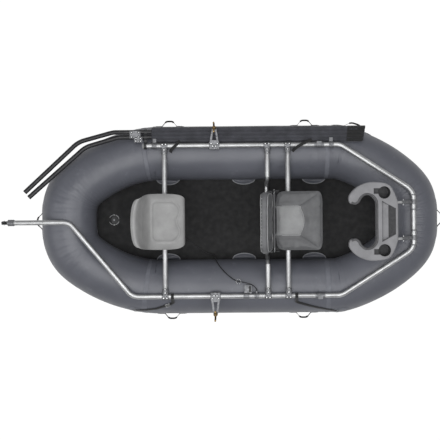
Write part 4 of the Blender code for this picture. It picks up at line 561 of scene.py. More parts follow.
def carried(points):
    """Each point of a line with its direction and a spoke that never twists."""
    points = [Vector(p) for p in points]
    last = len(points) - 1
    frames = []
    spoke = None
    before = None
    for place, point in enumerate(points):
        ahead = (points[min(place + 1, last)] - points[max(place - 1, 0)]).normalized()
        if spoke is None:
            spoke = ahead.orthogonal().normalized()
        else:
            spoke = before.rotation_difference(ahead) @ spoke
        before = ahead
        frames.append((point, ahead, spoke.copy()))
    return frames


def ring_of(a_frame, radius, slip, sides):
    """A ring of points round a line's frame, slipped along it."""
    point, ahead, spoke = a_frame
    side = ahead.cross(spoke)
    centre = point + ahead * slip
    turns = (2 * math.pi * step / sides for step in range(sides))
    return [centre + (spoke * math.cos(turn) + side * math.sin(turn)) * radius for turn in turns]


def tube(name, points, radius, material, sides=32, hollow=False, wall=0.0028, depth=0.03, edge=0.0012):
    """A round tube down a line, its ends eased; a hollow one shows its bore where it starts."""
    frames = carried(points)
    far = distances(points)

    def end_rings(spot, way, shows_bore):
        """The rings that ease one end, or turn into its bore."""
        bore_rings = ((radius - wall, depth), (radius - wall, edge / 2), (radius - wall + edge / 2, 0))
        plain_rings = ((radius - edge, 0), (radius - edge / 3, edge / 3))
        chosen = (*(bore_rings if shows_bore else plain_rings), (radius, edge))
        return [ring_of(spot, size, way * slip, sides) for size, slip in chosen]

    first = end_rings(frames[0], 1, hollow)
    last = end_rings(frames[-1], -1, False)
    middle = [ring_of(spot, radius, 0, sides) for spot in frames[1:-1]]
    rows = first + middle + last[::-1]
    vs = [far[0]] * len(first) + far[1:-1] + [far[-1]] * (len(last) + 1)
    us = [2 * math.pi * radius * step / sides for step in range(sides + 1)]
    mesh = grid(name, rows, us, vs, around=True, capped=True)
    mesh.set_sharp_from_angle(angle=math.radians(50))
    return placed(name, mesh, material)


def loop(name, points, normal, wire, material, sides=12):
    """A closed wire that lies in a plane, such as a ring."""
    points = [Vector(p) for p in points]
    normal = Vector(normal).normalized()
    rows = []
    for place, point in enumerate(points):
        ahead = (points[(place + 1) % len(points)] - points[place - 1]).normalized()
        side = ahead.cross(normal)
        rows.append([
            point + (normal * math.cos(turn) + side * math.sin(turn)) * wire
            for turn in (2 * math.pi * step / sides for step in range(sides))
        ])
    mesh = grid(name, rows, None, distances(points, True), around=True, along=True)
    return placed(name, mesh, material)


def circle(centre, normal, radius, sides=32):
    """Points of a circle."""
    spoke = Vector(normal).orthogonal().normalized()
    side = Vector(normal).normalized().cross(spoke)
    turns = (2 * math.pi * step / sides for step in range(sides))
    return [
        Vector(centre) + (spoke * math.cos(turn) + side * math.sin(turn)) * radius for turn in turns
    ]


# %% [markdown]
# Screws, washers, bands and the valve are round. A lathe would cut them from bar, and spin does
# the same: it carries half a profile once round the axis and merges the last copy with the first.

# %% Helper for lathed shapes
def turned(name, foot, up, profile, material, sides=40, sharp=35):
    """A lathed solid: pairs of (radius, height) from the foot along up."""
    foot, up = Vector(foot), Vector(up).normalized()
    spoke = up.orthogonal().normalized()
    shape = bmesh.new()
    knots = [shape.verts.new(foot + up * height + spoke * radius) for radius, height in profile]
    edges = [shape.edges.new(pair) for pair in zip(knots, knots[1:])]
    bmesh.ops.spin(
        shape, geom=knots + edges, cent=foot, axis=up, angle=2 * math.pi, steps=sides, use_merge=True,
    )
    close_ends(shape)
    mesh = made_mesh(name, shape)
    mesh.set_sharp_from_angle(angle=math.radians(sharp))
    return placed(name, mesh, material)


# %% [markdown]
# Webbing is a flat section swept down a line of places. Its stitches are small icospheres drawn
# out along the thread, with few faces each, because there are hundreds of them.

# %% Helpers for webbing
def strip(name, spots, width, thickness, material):
    """Flat webbing down spots of (point, normal, across), with rounded edges."""
    half, thick, soft = width / 2, thickness / 2, thickness * 0.35
    section = (
        (half - soft, thick), (0, thick), (soft - half, thick), (-half, thick - soft),
        (-half, soft - thick), (soft - half, -thick), (0, -thick), (half - soft, -thick),
        (half, soft - thick), (half, thick - soft),
    )
    rows = [[spot + wide * a + out * b for a, b in section] for spot, out, wide in spots]
    us = [half - a for a, _ in section] + [0]
    far = distances([spot for spot, _, _ in spots])
    mesh = grid(name, rows, us, far + far[-1:], around=True, capped=True)
    mesh.set_sharp_from_angle(angle=math.radians(60))
    return placed(name, mesh, material)


def stitches(name, spots, offset, lift, pitch=0.004, wire=0.0006):
    """A row of thread stitches along a strip, beside its middle line."""
    far = distances([spot for spot, _, _ in spots])
    count = int(far[-1] / pitch)
    shape = bmesh.new()
    for step in range(count):
        ends = []
        for share in (0.15, 0.75):
            here = (step + share) * pitch
            after = min(len(far) - 1, max(1, int(np.searchsorted(far, here))))
            part = (here - far[after - 1]) / max(far[after] - far[after - 1], 1e-9)
            spot = spots[after - 1][0].lerp(spots[after][0], part)
            ends.append(spot + spots[after][1] * lift + spots[after][2] * offset)
        middle, run = (ends[0] + ends[1]) / 2, ends[1] - ends[0]
        turn = Vector((0, 0, 1)).rotation_difference(run).to_matrix().to_4x4()
        matrix = Matrix.Translation(middle) @ turn @ Matrix.Diagonal((wire, wire, run.length / 2, 1))
        bmesh.ops.create_icosphere(shape, subdivisions=1, radius=1, matrix=matrix)
    return placed(name, made_mesh(name, shape, outward=False), stitch_thread)


# %% [markdown]
# A soft line, such as a rope's, passes smoothly through a few given places. A bent tube runs
# straight and turns at one radius, as it comes off a tube bender.

# %% Helpers for lines
def smooth_route(points, steps, closed=False):
    """Points on a smooth curve that passes through the given ones."""
    points = [Vector(point) for point in points]
    count = len(points)
    route = []
    for span in range(count if closed else count - 1):
        if closed:
            before, start, end, after = (points[(span + step) % count] for step in (-1, 0, 1, 2))
        else:
            start, end = points[span], points[span + 1]
            before = points[span - 1] if span else 2 * start - end
            after = points[span + 2] if span + 2 < count else 2 * end - start
        for step in range(steps):
            t = step / steps
            route.append(
                (2 * start + (end - before) * t + (2 * before - 5 * start + 4 * end - after) * t ** 2
                 + (3 * start - before - 3 * end + after) * t ** 3) / 2
            )
    if not closed:
        route.append(points[-1])
    return route


def smooth_flat(line, steps, closed=False):
    """The same for a flat line of (x, y)."""
    return [tuple(p[:2]) for p in smooth_route([(x, y, 0) for x, y in line], steps, closed)]


def bent(corners, bend_radius, steps=14):
    """The centreline of a tube bent to one radius at each of its inner corners."""
    corners = [Vector(corner) for corner in corners]
    path = [corners[0]]
    for before, corner, after in zip(corners, corners[1:], corners[2:]):
        back = (before - corner).normalized()
        onward = (after - corner).normalized()
        half_angle = back.angle(onward) / 2
        centre = corner + (back + onward).normalized() * bend_radius / math.sin(half_angle)
        spoke = corner + back * bend_radius / math.tan(half_angle) - centre
        axis = back.cross(onward).normalized()
        sweep = 2 * half_angle - math.pi
        for step in range(steps + 1):
            path.append(centre + Matrix.Rotation(sweep * step / steps, 3, axis) @ spoke)
    path.append(corners[-1])
    return path


# %% [markdown]
# A CAD node comes as loose triangles. A copy of it is merged and its flat triangles are joined,
# and then a Bevel modifier can round its crisp edges, as every real edge is a little round.

# %% Helpers for solids
def frustum(name, low_ring, high_ring):
    """A closed solid between two rings of equally many points."""
    return placed(name, grid(name, [low_ring, high_ring], around=True, capped=True))


def merged_copy(node):
    """A closed copy of a CAD node with its flat triangles joined to larger faces."""
    shape = bmesh.new()
    shape.from_mesh(NODES[node].data)
    bmesh.ops.remove_doubles(shape, verts=shape.verts, dist=0.00001)
    bmesh.ops.join_triangles(
        shape, faces=shape.faces, angle_face_threshold=math.radians(1),
        angle_shape_threshold=math.radians(180),
    )
    mesh = bpy.data.meshes.new(node + "_shown")
    shape.to_mesh(mesh)
    shape.free()
    return placed(node + "_shown", mesh, FINISHES[SLOT_OF[node]])


def surface(piece):
    """A piece's faces as a tree that rays can be cast at."""
    mesh = piece.data
    return BVHTree.FromPolygons([v.co for v in mesh.vertices], [list(f.vertices) for f in mesh.polygons])


def baked(piece):
    """The piece with its modifiers applied."""
    depsgraph = bpy.context.evaluated_depsgraph_get()
    mesh = bpy.data.meshes.new_from_object(piece.evaluated_get(depsgraph))
    piece.modifiers.clear()
    old = piece.data
    piece.data = mesh
    if isinstance(old, bpy.types.Mesh):
        bpy.data.meshes.remove(old)
    return piece


def eased(piece, width, segments=2, angle=38):
    """The piece with its crisp edges rounded and its faces shaded smooth between them."""
    piece.data.shade_smooth()
    piece.data.set_sharp_from_angle(angle=math.radians(angle))
    rounding = piece.modifiers.new("eased edges", "BEVEL")
    rounding.width = width
    rounding.segments = segments
    rounding.limit_method = "ANGLE"
    rounding.angle_limit = math.radians(angle)
    rounding.use_clamp_overlap = True
    return piece


# %% [markdown]
# The hull is one ring of tube. Its centreline passes through the same points as in the CAD
# model, and a place on it is given by the distance along that ring from the stern's middle
# round to port, and by the turn outwards from the tube's top.

# %% The hull's line
HULL_LENGTH = 3.338
HULL_WIDTH = 1.600
BOW_TAPER = 0.606
STERN_TAPER = 0.730
BOW_KICK = 0.100
STERN_KICK = 0.080
bow_taper_shares = (
    (0.0, 1.0), (0.26, 0.915), (0.55, 0.757), (0.79, 0.562), (0.935, 0.385), (0.99, 0.215),
    (1.0, 0.0),
)
stern_taper_shares = (
    (0.0, 1.0), (0.21, 0.962), (0.451, 0.866), (0.688, 0.712), (0.892, 0.508), (0.984, 0.28),
    (1.0, 0.0),
)
HULL_END = HULL_LENGTH / 2 - TUBE_RADIUS
HULL_HALF = HULL_WIDTH / 2 - TUBE_RADIUS
BOW_SIDE_X = HULL_END - BOW_TAPER
STERN_SIDE_X = STERN_TAPER - HULL_END
CURVE_STEPS = 24
STRAIGHT_STEPS = 60


def kick(x):
    """How far the hull rises at x above its flat middle."""
    bow = max(0, x - BOW_SIDE_X) / BOW_TAPER
    stern = max(0, STERN_SIDE_X - x) / STERN_TAPER
    return BOW_KICK * bow ** 2 + STERN_KICK * stern ** 2


def mirrored(points):
    """The same points on the other side of the hull."""
    return [Vector((point.x, -point.y, point.z)) for point in points]


def half_centreline(steps=CURVE_STEPS):
    """The tube's centreline on the port side, from the stern to the bow."""
    stern = [
        Vector((STERN_SIDE_X - along * STERN_TAPER, left * HULL_HALF, 0))
        for along, left in reversed(stern_taper_shares)
    ]
    bow = [
        Vector((BOW_SIDE_X + along * BOW_TAPER, left * HULL_HALF, 0)) for along, left in bow_taper_shares
    ]
    on_side = Vector((stern_taper_shares[1][0] * STERN_TAPER, 0, 0))
    stern = smooth_route([*mirrored(stern[1:2]), *stern, stern[-1] + on_side], steps)
    on_side = Vector((bow_taper_shares[1][0] * BOW_TAPER, 0, 0))
    bow = smooth_route([bow[0] - on_side, *bow, *mirrored(bow[-2:-1])], steps)
    stern, bow = stern[steps:-steps], bow[steps:-steps]
    side = [stern[-1].lerp(bow[0], step / STRAIGHT_STEPS) for step in range(1, STRAIGHT_STEPS)]
    return stern + side + bow


# %% [markdown]
# The two halves make the ring. Its centre, its outward direction and the distance along it are
# kept as arrays, so that a place anywhere on the hull can be looked up.

# %% Places on the hull
port_line = half_centreline()
ring_line = port_line + mirrored(port_line[-2:0:-1])
ring_points = np.array([(p.x, p.y, TUBE_RADIUS + kick(p.x)) for p in ring_line])
ahead = np.roll(ring_points, -1, 0) - np.roll(ring_points, 1, 0)
ahead[:, 2] = 0
ahead /= np.linalg.norm(ahead, axis=1)[:, None]
ring_out = np.stack([-ahead[:, 1], ahead[:, 0], np.zeros(len(ahead))], -1)
level_steps = np.linalg.norm((np.roll(ring_points, -1, 0) - ring_points)[:, :2], axis=1)
ring_far = np.concatenate([[0], np.cumsum(level_steps)])
RING_LENGTH = ring_far[-1]
HALF_RING = RING_LENGTH / 2


def ring_at(far):
    """The tube's centre and outward direction at distances along the ring."""
    far = np.mod(far, RING_LENGTH)
    closed_points = np.vstack([ring_points, ring_points[:1]])
    closed_out = np.vstack([ring_out, ring_out[:1]])
    centre = np.stack([np.interp(far, ring_far, closed_points[:, axis]) for axis in range(3)], -1)
    outward = np.stack([np.interp(far, ring_far, closed_out[:, axis]) for axis in range(3)], -1)
    return centre, outward / np.linalg.norm(outward, axis=-1, keepdims=True)


def on_hull(far, turn, lift=0.0):
    """A point on the tube and the way out of it there, turned outwards from its top."""
    centre, outward = ring_at(np.asarray(far, dtype=float))
    turn = np.asarray(turn, dtype=float)[..., None]
    ray = outward * np.sin(turn) + np.array([0, 0, 1.0]) * np.cos(turn)
    return centre + ray * (TUBE_RADIUS + np.asarray(lift)[..., None]), ray


def far_at(x, side=PORT):
    """The distance along the ring at which its centre passes x on one side."""
    half = ring_points[:len(port_line)]
    far = float(np.interp(x, half[:, 0], ring_far[:len(port_line)]))
    return far if side == PORT else RING_LENGTH - far


def hull_spot(far, turn, lift=0.0):
    """The same as on_hull for one place, as vectors."""
    point, ray = on_hull(far, turn, lift)
    return Vector(point), Vector(ray)


print("round the hull, m:", round(float(RING_LENGTH), 3))

# %% [markdown]
# The anchor rope leaves its eye on the starboard rail, drops over the tube and lies coiled on
# the floor under the rower's seat. It is one 8 mm braided line on one smooth curve.

# %% Anchor rope
GAP = 0.0003
RAIL_RADIUS = 0.021
RAIL_Y = 0.625
RAIL_Z = 2 * TUBE_RADIUS + RAIL_RADIUS + 0.0055 + GAP
FLOOR_TOP = TUBE_RADIUS * (1 - math.sin(math.radians(36)))
ROPE_RADIUS = 0.004
ROPE_LAYER = 2 * ROPE_RADIUS + 0.0012
ROPE_LIFT = 0.008
EYE_X = 0.138
EYE_BOSS_REACH = 0.016
COIL_X = -0.640
COIL_Y = -0.060
COIL_TURNS = 12
COIL_INNER_RADIUS = 0.048
COIL_PITCH = 0.0093
COIL_TURN_POINTS = 54
floor_z = float(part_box("anchor_rope_coil")[0].z) + ROPE_RADIUS


def coil_points():
    """The coil: in along the lower layer, up at the middle, out again on the upper one."""
    middle = COIL_TURNS / 2
    points = []
    for step in range(COIL_TURNS * COIL_TURN_POINTS + 1):
        turn = step / COIL_TURN_POINTS
        radius = COIL_INNER_RADIUS + COIL_PITCH * abs(turn - middle)
        angle = -math.pi / 2 - 2 * math.pi * turn
        climb = min(1, max(0, (turn - middle) * 2 + 0.5))
        climb = climb * climb * (3 - 2 * climb)
        points.append(Vector((
            COIL_X + radius * math.cos(angle), COIL_Y + radius * math.sin(angle),
            floor_z + ROPE_LAYER * climb,
        )))
    return points


coil = coil_points()
exit_y = -RAIL_Y + RAIL_RADIUS + 0.005 + EYE_BOSS_REACH + GAP
over_hull = [
    hull_spot(far_at(x, STARBOARD), math.radians(turn), ROPE_LIFT)[0]
    for x, turn in ((-0.030, -17), (-0.090, -27), (-0.145, -42), (-0.185, -60), (-0.205, -80))
]
onward = (coil[1] - coil[0]).normalized()
rope_points = [
    (EYE_X, exit_y, RAIL_Z), (EYE_X - 0.002, exit_y + 0.014, RAIL_Z), (0.112, -0.541, RAIL_Z + 0.006),
    (0.074, -0.522, RAIL_Z + 0.009), (0.030, -0.511, RAIL_Z + 0.0085), *over_hull,
    (-0.212, -0.318, 0.205), (-0.224, -0.313, 0.150), (-0.252, -0.306, floor_z + 0.010),
    (-0.300, -0.288, floor_z + 0.0012), (-0.360, -0.245, floor_z), (-0.430, -0.190, floor_z),
    (-0.510, -0.160, floor_z), coil[0] - onward * 0.024, coil[0] - onward * 0.008,
]
rope_line = smooth_route(rope_points, 6) + coil
rope = tube("anchor_rope_line", rope_line, ROPE_RADIUS, rope_braid, sides=12, edge=0.0008)
showing(rope, "anchor_rope")
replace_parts(rope, "anchor_rope_coil")
tail = rope_line[-1]
tail_ahead = (rope_line[-1] - rope_line[-2]).normalized()
# Sixteen turns of thread bind the rope's end
WHIPPING_LENGTH = 0.016
WHIPPING_TURNS = 16
whipping_profile = [(ROPE_RADIUS, 0)]
whipping_profile += [
    (0.0042 + 0.0003 * (step % 2), 0.0008 + step * 0.0009) for step in range(WHIPPING_TURNS)
]
whipping_profile += [(ROPE_RADIUS, WHIPPING_LENGTH - 0.0002)]
whipping = turned(
    "anchor_rope_whipping", tail - tail_ahead * WHIPPING_LENGTH, tail_ahead, whipping_profile,
    stitch_thread, sides=20, sharp=80,
)
riding(whipping)

# %% [markdown]
# The floor is a pale studio sweep under soft light. The lamps are large, so that edges of
# shadows stay soft, and the camera sees the floor and the world as plain white.

# %% Studio
GROUND_SIZE = 16.0
LAMP_HEIGHT = 6.0
PAPER_GLOW = 0.90
WORLD_STRENGTH = 0.24
ground_shape = bmesh.new()
bmesh.ops.create_grid(ground_shape, x_segments=1, y_segments=1, size=GROUND_SIZE / 2)
ground_mesh = bpy.data.meshes.new("studio_ground")
ground_shape.to_mesh(ground_mesh)
ground_shape.free()
paper, tree, shader, place, across = finish("white studio paper", 0.9)
shader.inputs["Base Color"].default_value = linear("f2f2f2")
seen = add(tree, "LightPath")
glow = add(tree, "Emission", Color=linear("ffffff"), Strength=1.08)
glowing = add(
    tree, "Math", {"operation": "MULTIPLY"}, in0=seen.outputs["Is Camera Ray"], in1=PAPER_GLOW,
)
white = add(tree, "MixShader", Fac=glowing.outputs[0])
tree.links.new(shader.outputs["BSDF"], white.inputs[1])
tree.links.new(glow.outputs["Emission"], white.inputs[2])
tree.links.new(white.outputs["Shader"], tree.nodes["Material Output"].inputs["Surface"])
ground = placed("studio_ground", ground_mesh, paper)
ground.location.z = CAD_BOX[0][2] - 0.001

world = bpy.data.worlds.new("soft studio")
bpy.context.scene.world = world
world.use_nodes = True
world.node_tree.nodes["Background"].inputs["Color"].default_value = linear("ffffff")
world.node_tree.nodes["Background"].inputs["Strength"].default_value = WORLD_STRENGTH


def softbox(name, location, size, power):
    """A square area lamp that faces the raft's middle."""
    data = bpy.data.lights.new(name, "AREA")
    data.size = size
    data.energy = power
    lamp = bpy.data.objects.new(name, data)
    lamp.location = location
    lamp.rotation_euler = (-Vector(location)).to_track_quat("-Z", "Y").to_euler()
    bpy.context.scene.collection.objects.link(lamp)


softbox("overhead", (-0.65, -0.9, LAMP_HEIGHT), 4.5, 172)
softbox("bow_fill", (3.2, -0.6, 4.5), 2.5, 52)
softbox("port_fill", (0.6, 3.5, 5.0), 3.0, 40)
softbox("stern_fill", (-4.5, -1.0, 3.5), 3.0, 40)
bpy.context.scene.view_settings.view_transform = "Standard"

# %% [markdown]
# The hull's skin: taut along the sides, with fine wrinkles on the inner side of the bends
# where the cloth is shorter, and welded bands of tape where its panels meet.

# %% Wrinkles of the hull's skin
RING_STEP = 0.008
TUBE_SIDES = 64
SEAM_WIDTH = 0.036
SEAM_HEIGHT = 0.0011
SEAM_X = (-0.785, 0.740)
FOLD_LENGTH = 0.034
BUCKLE_LENGTH = 0.085
NOSE_SPREAD = 0.26
NOSE_FOLD = 0.021


def hull_relief(far, turn):
    """How far the skin stands from a true tube."""
    bend = np.interp(far, bend_far, bend_amount)
    level_turn = np.mod(turn + math.pi, 2 * math.pi) - math.pi
    inner = np.exp(-((level_turn - 0.15) / 0.50) ** 2)
    inner = inner + 0.45 * np.exp(-((level_turn + 1.0) / 0.45) ** 2)
    wander = 0.35 * np.sin(9.1 * far + 2.3 * turn) + 0.25 * np.sin(21.7 * far - 3.1 * turn)
    folds = 1 - np.abs(np.sin(math.pi * far / FOLD_LENGTH + 2.2 * wander))
    buckles = 0.5 + 0.5 * np.cos(2 * math.pi * far / BUCKLE_LENGTH + 3 * wander + 0.8 * turn)
    gather = bend * inner
    nose = np.exp(-((far - HALF_RING) / NOSE_SPREAD) ** 4)
    nose = nose * np.exp(-((level_turn - 0.22) / 0.24) ** 2)
    strokes = 1 - np.abs(np.sin(math.pi * far / NOSE_FOLD + 1.4 * wander))
    soft = 0.0006 * np.sin(7.3 * far + 2 * turn) * np.sin(3.1 * far - turn)
    relief = soft - 0.0034 * gather * folds ** 2.4 + 0.0030 * gather * (buckles - 0.5)
    relief = relief - 0.0026 * nose * strokes ** 2
    for x in SEAM_X:
        for side in (PORT, STARBOARD):
            off = np.abs(far - far_at(x, side))
            relief = relief + SEAM_HEIGHT * np.clip((SEAM_WIDTH / 2 + 0.0006 - off) / 0.0012, 0, 1)
            relief = relief - 0.0009 * np.exp(-((off - SEAM_WIDTH / 2 - 0.004) / 0.004) ** 2)
    return relief


headings = np.unwrap(np.arctan2(ahead[:, 1], ahead[:, 0]))
curvature = np.abs(np.gradient(headings)) / level_steps
curvature = np.convolve(
    np.concatenate([curvature[-12:], curvature, curvature[:12]]), np.ones(25) / 25, "valid",
)
bend_far = np.concatenate([ring_far[:-1], [RING_LENGTH]])
bend_amount = np.clip(np.concatenate([curvature, curvature[:1]]) / 2.4, 0, 1)

# %% [markdown]
# The skin itself is one grid round the whole ring, with extra rows at the edges of each seam
# tape, so that the tape has a crisp step. Faces whose distance along the ring lies on a tape get
# the tape's finish.

# %% Hull
ring_fars = list(np.arange(0, RING_LENGTH, RING_STEP))
ring_fars += [far + RING_STEP / 2 for far in ring_fars if abs(far - HALF_RING) < 1.3 * NOSE_SPREAD]
for x in SEAM_X:
    for side in (PORT, STARBOARD):
        for edge in (-1, 1):
            for nudge in (-0.0007, 0.0007):
                ring_fars.append(far_at(x, side) + edge * SEAM_WIDTH / 2 + nudge)
ring_fars = np.array(sorted(ring_fars))
turns = np.arange(TUBE_SIDES) * 2 * math.pi / TUBE_SIDES
far_grid, turn_grid = np.meshgrid(ring_fars, turns, indexing="ij")
skin, _ = on_hull(far_grid, turn_grid, hull_relief(far_grid, turn_grid))
hull_mesh = grid(
    "hull_tube_skin", skin, np.append(turns, 2 * math.pi) * TUBE_RADIUS,
    np.append(ring_fars, RING_LENGTH), around=True, along=True, outward=False,
)
hull_mesh.flip_normals()
hull = placed("hull_tube_skin", hull_mesh, hull_fabric, tape_fabric)
corner_uvs = np.empty(len(hull_mesh.loops) * 2)
hull_mesh.uv_layers["UVMap"].data.foreach_get("uv", corner_uvs)
face_fars = corner_uvs.reshape(-1, 4, 2)[:, :, 1].mean(axis=1)
taped = np.zeros(len(face_fars), dtype=bool)
for x in SEAM_X:
    for side in (PORT, STARBOARD):
        taped |= np.abs(face_fars - far_at(x, side)) < SEAM_WIDTH / 2
hull_mesh.polygons.foreach_set("material_index", taped.astype(int))
showing(hull, "hull_tube")
print("hull faces:", len(taped), "on tape:", int(taped.sum()))

# %% [markdown]
# A patch is cloth glued to the tube under a handle or a ring. Its rows close in on its middle,
# and each point is carried on to the tube, so the patch bends with it.

# %% Patches
PATCH_SIDES = 48


def patch(name, far, turn, half_along, half_round, power=6, thickness=0.0014, material=tape_fabric):
    """A round-cornered piece of cloth bonded to the tube."""
    rows = []
    shares = (
        (1.0, -0.0006), (1.0, thickness * 0.6), (0.965, thickness), (0.66, thickness),
        (0.33, thickness), (0.0, thickness),
    )
    for share, lift in shares:
        row = []
        for step in range(PATCH_SIDES):
            angle = 2 * math.pi * step / PATCH_SIDES
            cosine, sine = math.cos(angle), math.sin(angle)
            reach = (abs(cosine) ** power + abs(sine) ** power) ** (-1 / power)
            row.append(hull_spot(
                far + cosine * reach * share * half_along,
                turn + sine * reach * share * half_round / TUBE_RADIUS, lift + 0.0012,
            )[0])
        rows.append(row)
    mesh = grid(name, rows, None, None, around=True)
    bmesh_mesh = bmesh.new()
    bmesh_mesh.from_mesh(mesh)
    bmesh.ops.remove_doubles(bmesh_mesh, verts=bmesh_mesh.verts, dist=0.00002)
    bmesh_mesh.to_mesh(mesh)
    bmesh_mesh.free()
    mesh.shade_smooth()
    return riding(placed(name, mesh, material))


# %% [markdown]
# The floor is a flat inflated panel that drops in between the tubes. It keeps its CAD shape with
# eased edges. A light bead runs round its rim, a tube swept down the line where panel and hull
# meet.

# %% Floor
FLOOR_EASE_SHARE = 0.25
RIM_Y_LEAST = 0.050
RIM_X_STEP = 0.004
RIM_WIRE = 0.0035
floor = eased(merged_copy("hull_floor"), 0.003)
showing(floor, "hull_floor")


def floor_edge_points():
    """The rim where the floor's top meets the tube, all the way round."""
    reach = TUBE_RADIUS * math.cos(math.radians(36)) + GAP
    points = []
    for far in np.arange(0, HALF_RING, 0.02):
        centre, outward = ring_at(np.array(far))
        rise = kick(float(centre[0]))
        spot = Vector(centre) - Vector(outward) * (reach + rise * FLOOR_EASE_SHARE)
        if spot.y > RIM_Y_LEAST and (not points or spot.x > points[-1].x + RIM_X_STEP):
            points.append(Vector((spot.x, spot.y, FLOOR_TOP + rise)))
    return points


port_rim = floor_edge_points()
for side, name in SIDES:
    rim = [Vector((p.x, side * (p.y - 0.005), p.z + RIM_WIRE)) for p in port_rim]
    bead = tube("floor_rim_" + name, smooth_route(rim, 2), RIM_WIRE, trim_fabric, sides=12)
    riding(bead)
print("floor rim, points a side:", len(port_rim))

# %% [markdown]
# Six crescents of hull cloth lie over the floor's edge and cover the holes through which it is
# laced to the tubes. Each is a thin solid between two equal outlines, with a welt down its curved
# edge whose pale colour is a painted highlight.

# %% Lacing lips
LIP_STATIONS = (-0.62, 0.04, 0.65)
LIP_HALF = 0.100
LIP_REACH = 0.050
LIP_ROOT = 0.352
LIP_TOP = FLOOR_TOP + 0.012
LIP_INSET = 0.04
for side, name in SIDES:
    for number, x in enumerate(LIP_STATIONS):
        arc = []
        for step in range(33):
            turn = math.pi * step / 32
            off = LIP_ROOT - math.sin(turn) * LIP_REACH
            arc.append(Vector((x + math.cos(turn) * LIP_HALF, side * off, LIP_TOP)))
        middle = Vector((x, side * LIP_ROOT, LIP_TOP))
        inner = [point.lerp(middle, LIP_INSET) for point in arc]
        root = [Vector((point.x, side * LIP_ROOT, LIP_TOP)) for point in inner[1:-1]]
        flap_ring = inner + root[::-1]
        half_sheet = Vector((0, 0, 0.0012))
        flap = frustum(
            f"floor_lip_{name}_{number}", [point - half_sheet for point in flap_ring],
            [point + half_sheet for point in flap_ring],
        )
        flap.data.materials.append(hull_fabric)
        riding(flap)
        # The welt's pale colour is a painted highlight on the lip's curved edge.
        welt = tube(f"floor_lip_rim_{name}_{number}", arc, 0.0042, painted_highlight_welt, sides=12)
        riding(welt)

# %% [markdown]
# The pressure valve lets air out before the floor bursts. It is a round moulding set in the
# floor, which rises towards the bow, so the valve leans with it. One half profile, of radius and
# height, is spun into its flange, ring and cap. Pale marks, two screws and a stem sit on it.

# %% Floor valve
VALVE_LEAN = math.radians(6.0)
VALVE_RING = 0.0430
VALVE_MARK_SWEEP = math.radians(58)
VALVE_PROFILE = (
    (0.0505, 0.0), (0.0512, 0.0012), (0.0500, 0.0030), (0.0470, 0.0044), (0.0385, 0.0046),
    (0.0370, 0.0034), (0.0345, 0.0034), (0.0330, 0.0052), (0.0285, 0.0054), (0.0275, 0.0040),
    (0.0265, 0.0040), (0.0258, 0.0090), (0.0245, 0.0098), (0.0215, 0.0098), (0.0205, 0.0072),
    (0.0100, 0.0068), (0.0090, 0.0090), (0.0010, 0.0094),
)
VALVE_SCREW = ((0.0066, 0), (0.0066, 0.0020), (0.0050, 0.0034), (0.0006, 0.0036))
VALVE_STEM = ((0.0085, 0), (0.0085, 0.0016), (0.0070, 0.0026), (0.0006, 0.0028))
valve_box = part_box("floor_valve")
valve_foot = Vector(((valve_box[0].x + valve_box[1].x) / 2, 0, valve_box[0].z + 0.0028))
valve_up = Vector((math.sin(VALVE_LEAN), 0, math.cos(VALVE_LEAN)))
valve = turned("floor_valve_body", valve_foot, valve_up, VALVE_PROFILE, dark_plastic, sides=64)
showing(valve, "floor_valve")
to_port = Vector((0, 1, 0))
valve_side = valve_up.cross(to_port).normalized()
for number in range(4):
    arc = []
    for step in range(17):
        turn = math.radians(90 * number + 18) + VALVE_MARK_SWEEP * step / 16
        ray = valve_side * math.cos(turn) + to_port * math.sin(turn)
        arc.append(valve_foot + valve_up * 0.0050 + ray * VALVE_RING)
    mark = tube(f"floor_valve_mark_{number}", arc, 0.0026, piping_vinyl, sides=10)
    riding(mark)
for side, name in SIDES:
    spot = valve_foot + valve_up * 0.0040 + to_port * side * VALVE_RING
    screw = turned("floor_valve_screw_" + name, spot, valve_up, VALVE_SCREW, piping_vinyl, 20)
    riding(screw)
stem_foot = valve_foot + valve_up * 0.0072
stem = turned("floor_valve_stem", stem_foot, valve_up, VALVE_STEM, fitting_metal, sides=24)
riding(stem)
print("floor valve at x, m:", round(valve_foot.x, 3))

# %% [markdown]
# The frame is 42 mm aluminium tube. The rails run straight, the starboard one bends inwards and
# on as the anchor arm, and the hoop bends round the bow. Each is a circle swept down the route
# that its CAD node has, with the bend radius of a tube bender, so bends stay round.

# %% Rails and hoop
ARM_Z = 2 * TUBE_RADIUS + STERN_KICK + RAIL_RADIUS + GAP
JOINT_X = 0.665
HOOP_CORNER_X = 1.424
HOOP_CORNER_Y = 0.238
REST_REACH = TUBE_RADIUS + RAIL_RADIUS + 0.0055 + GAP
CORNER_Z = TUBE_RADIUS + BOW_KICK + math.sqrt(REST_REACH ** 2 - (HULL_END - HOOP_CORNER_X) ** 2)
hoop_corners = [
    (JOINT_X + GAP, RAIL_Y, RAIL_Z), (0.843, RAIL_Y, RAIL_Z), (HOOP_CORNER_X, HOOP_CORNER_Y, CORNER_Z),
    (HOOP_CORNER_X, -HOOP_CORNER_Y, CORNER_Z), (0.843, -RAIL_Y, RAIL_Z),
    (JOINT_X + GAP, -RAIL_Y, RAIL_Z),
]
arm_corners = [
    (-1.893, 0, ARM_Z), (-1.400, 0, ARM_Z), (-0.893, -RAIL_Y, RAIL_Z), (JOINT_X - GAP, -RAIL_Y, RAIL_Z),
]
port_rail = [(-0.795, RAIL_Y, RAIL_Z), (JOINT_X - GAP, RAIL_Y, RAIL_Z)]
ARM_BEND = 0.110
HOOP_BEND = 0.115
arm_line, hoop_line = bent(arm_corners, ARM_BEND), bent(hoop_corners, HOOP_BEND)
showing(tube("rail_port_tube", port_rail, RAIL_RADIUS, aluminium, hollow=True), "rail_port")
arm = tube("rail_starboard_tube", arm_line, RAIL_RADIUS, aluminium, hollow=True)
showing(arm, "rail_starboard")
showing(tube("bow_hoop_tube", hoop_line, RAIL_RADIUS, aluminium), "bow_hoop")
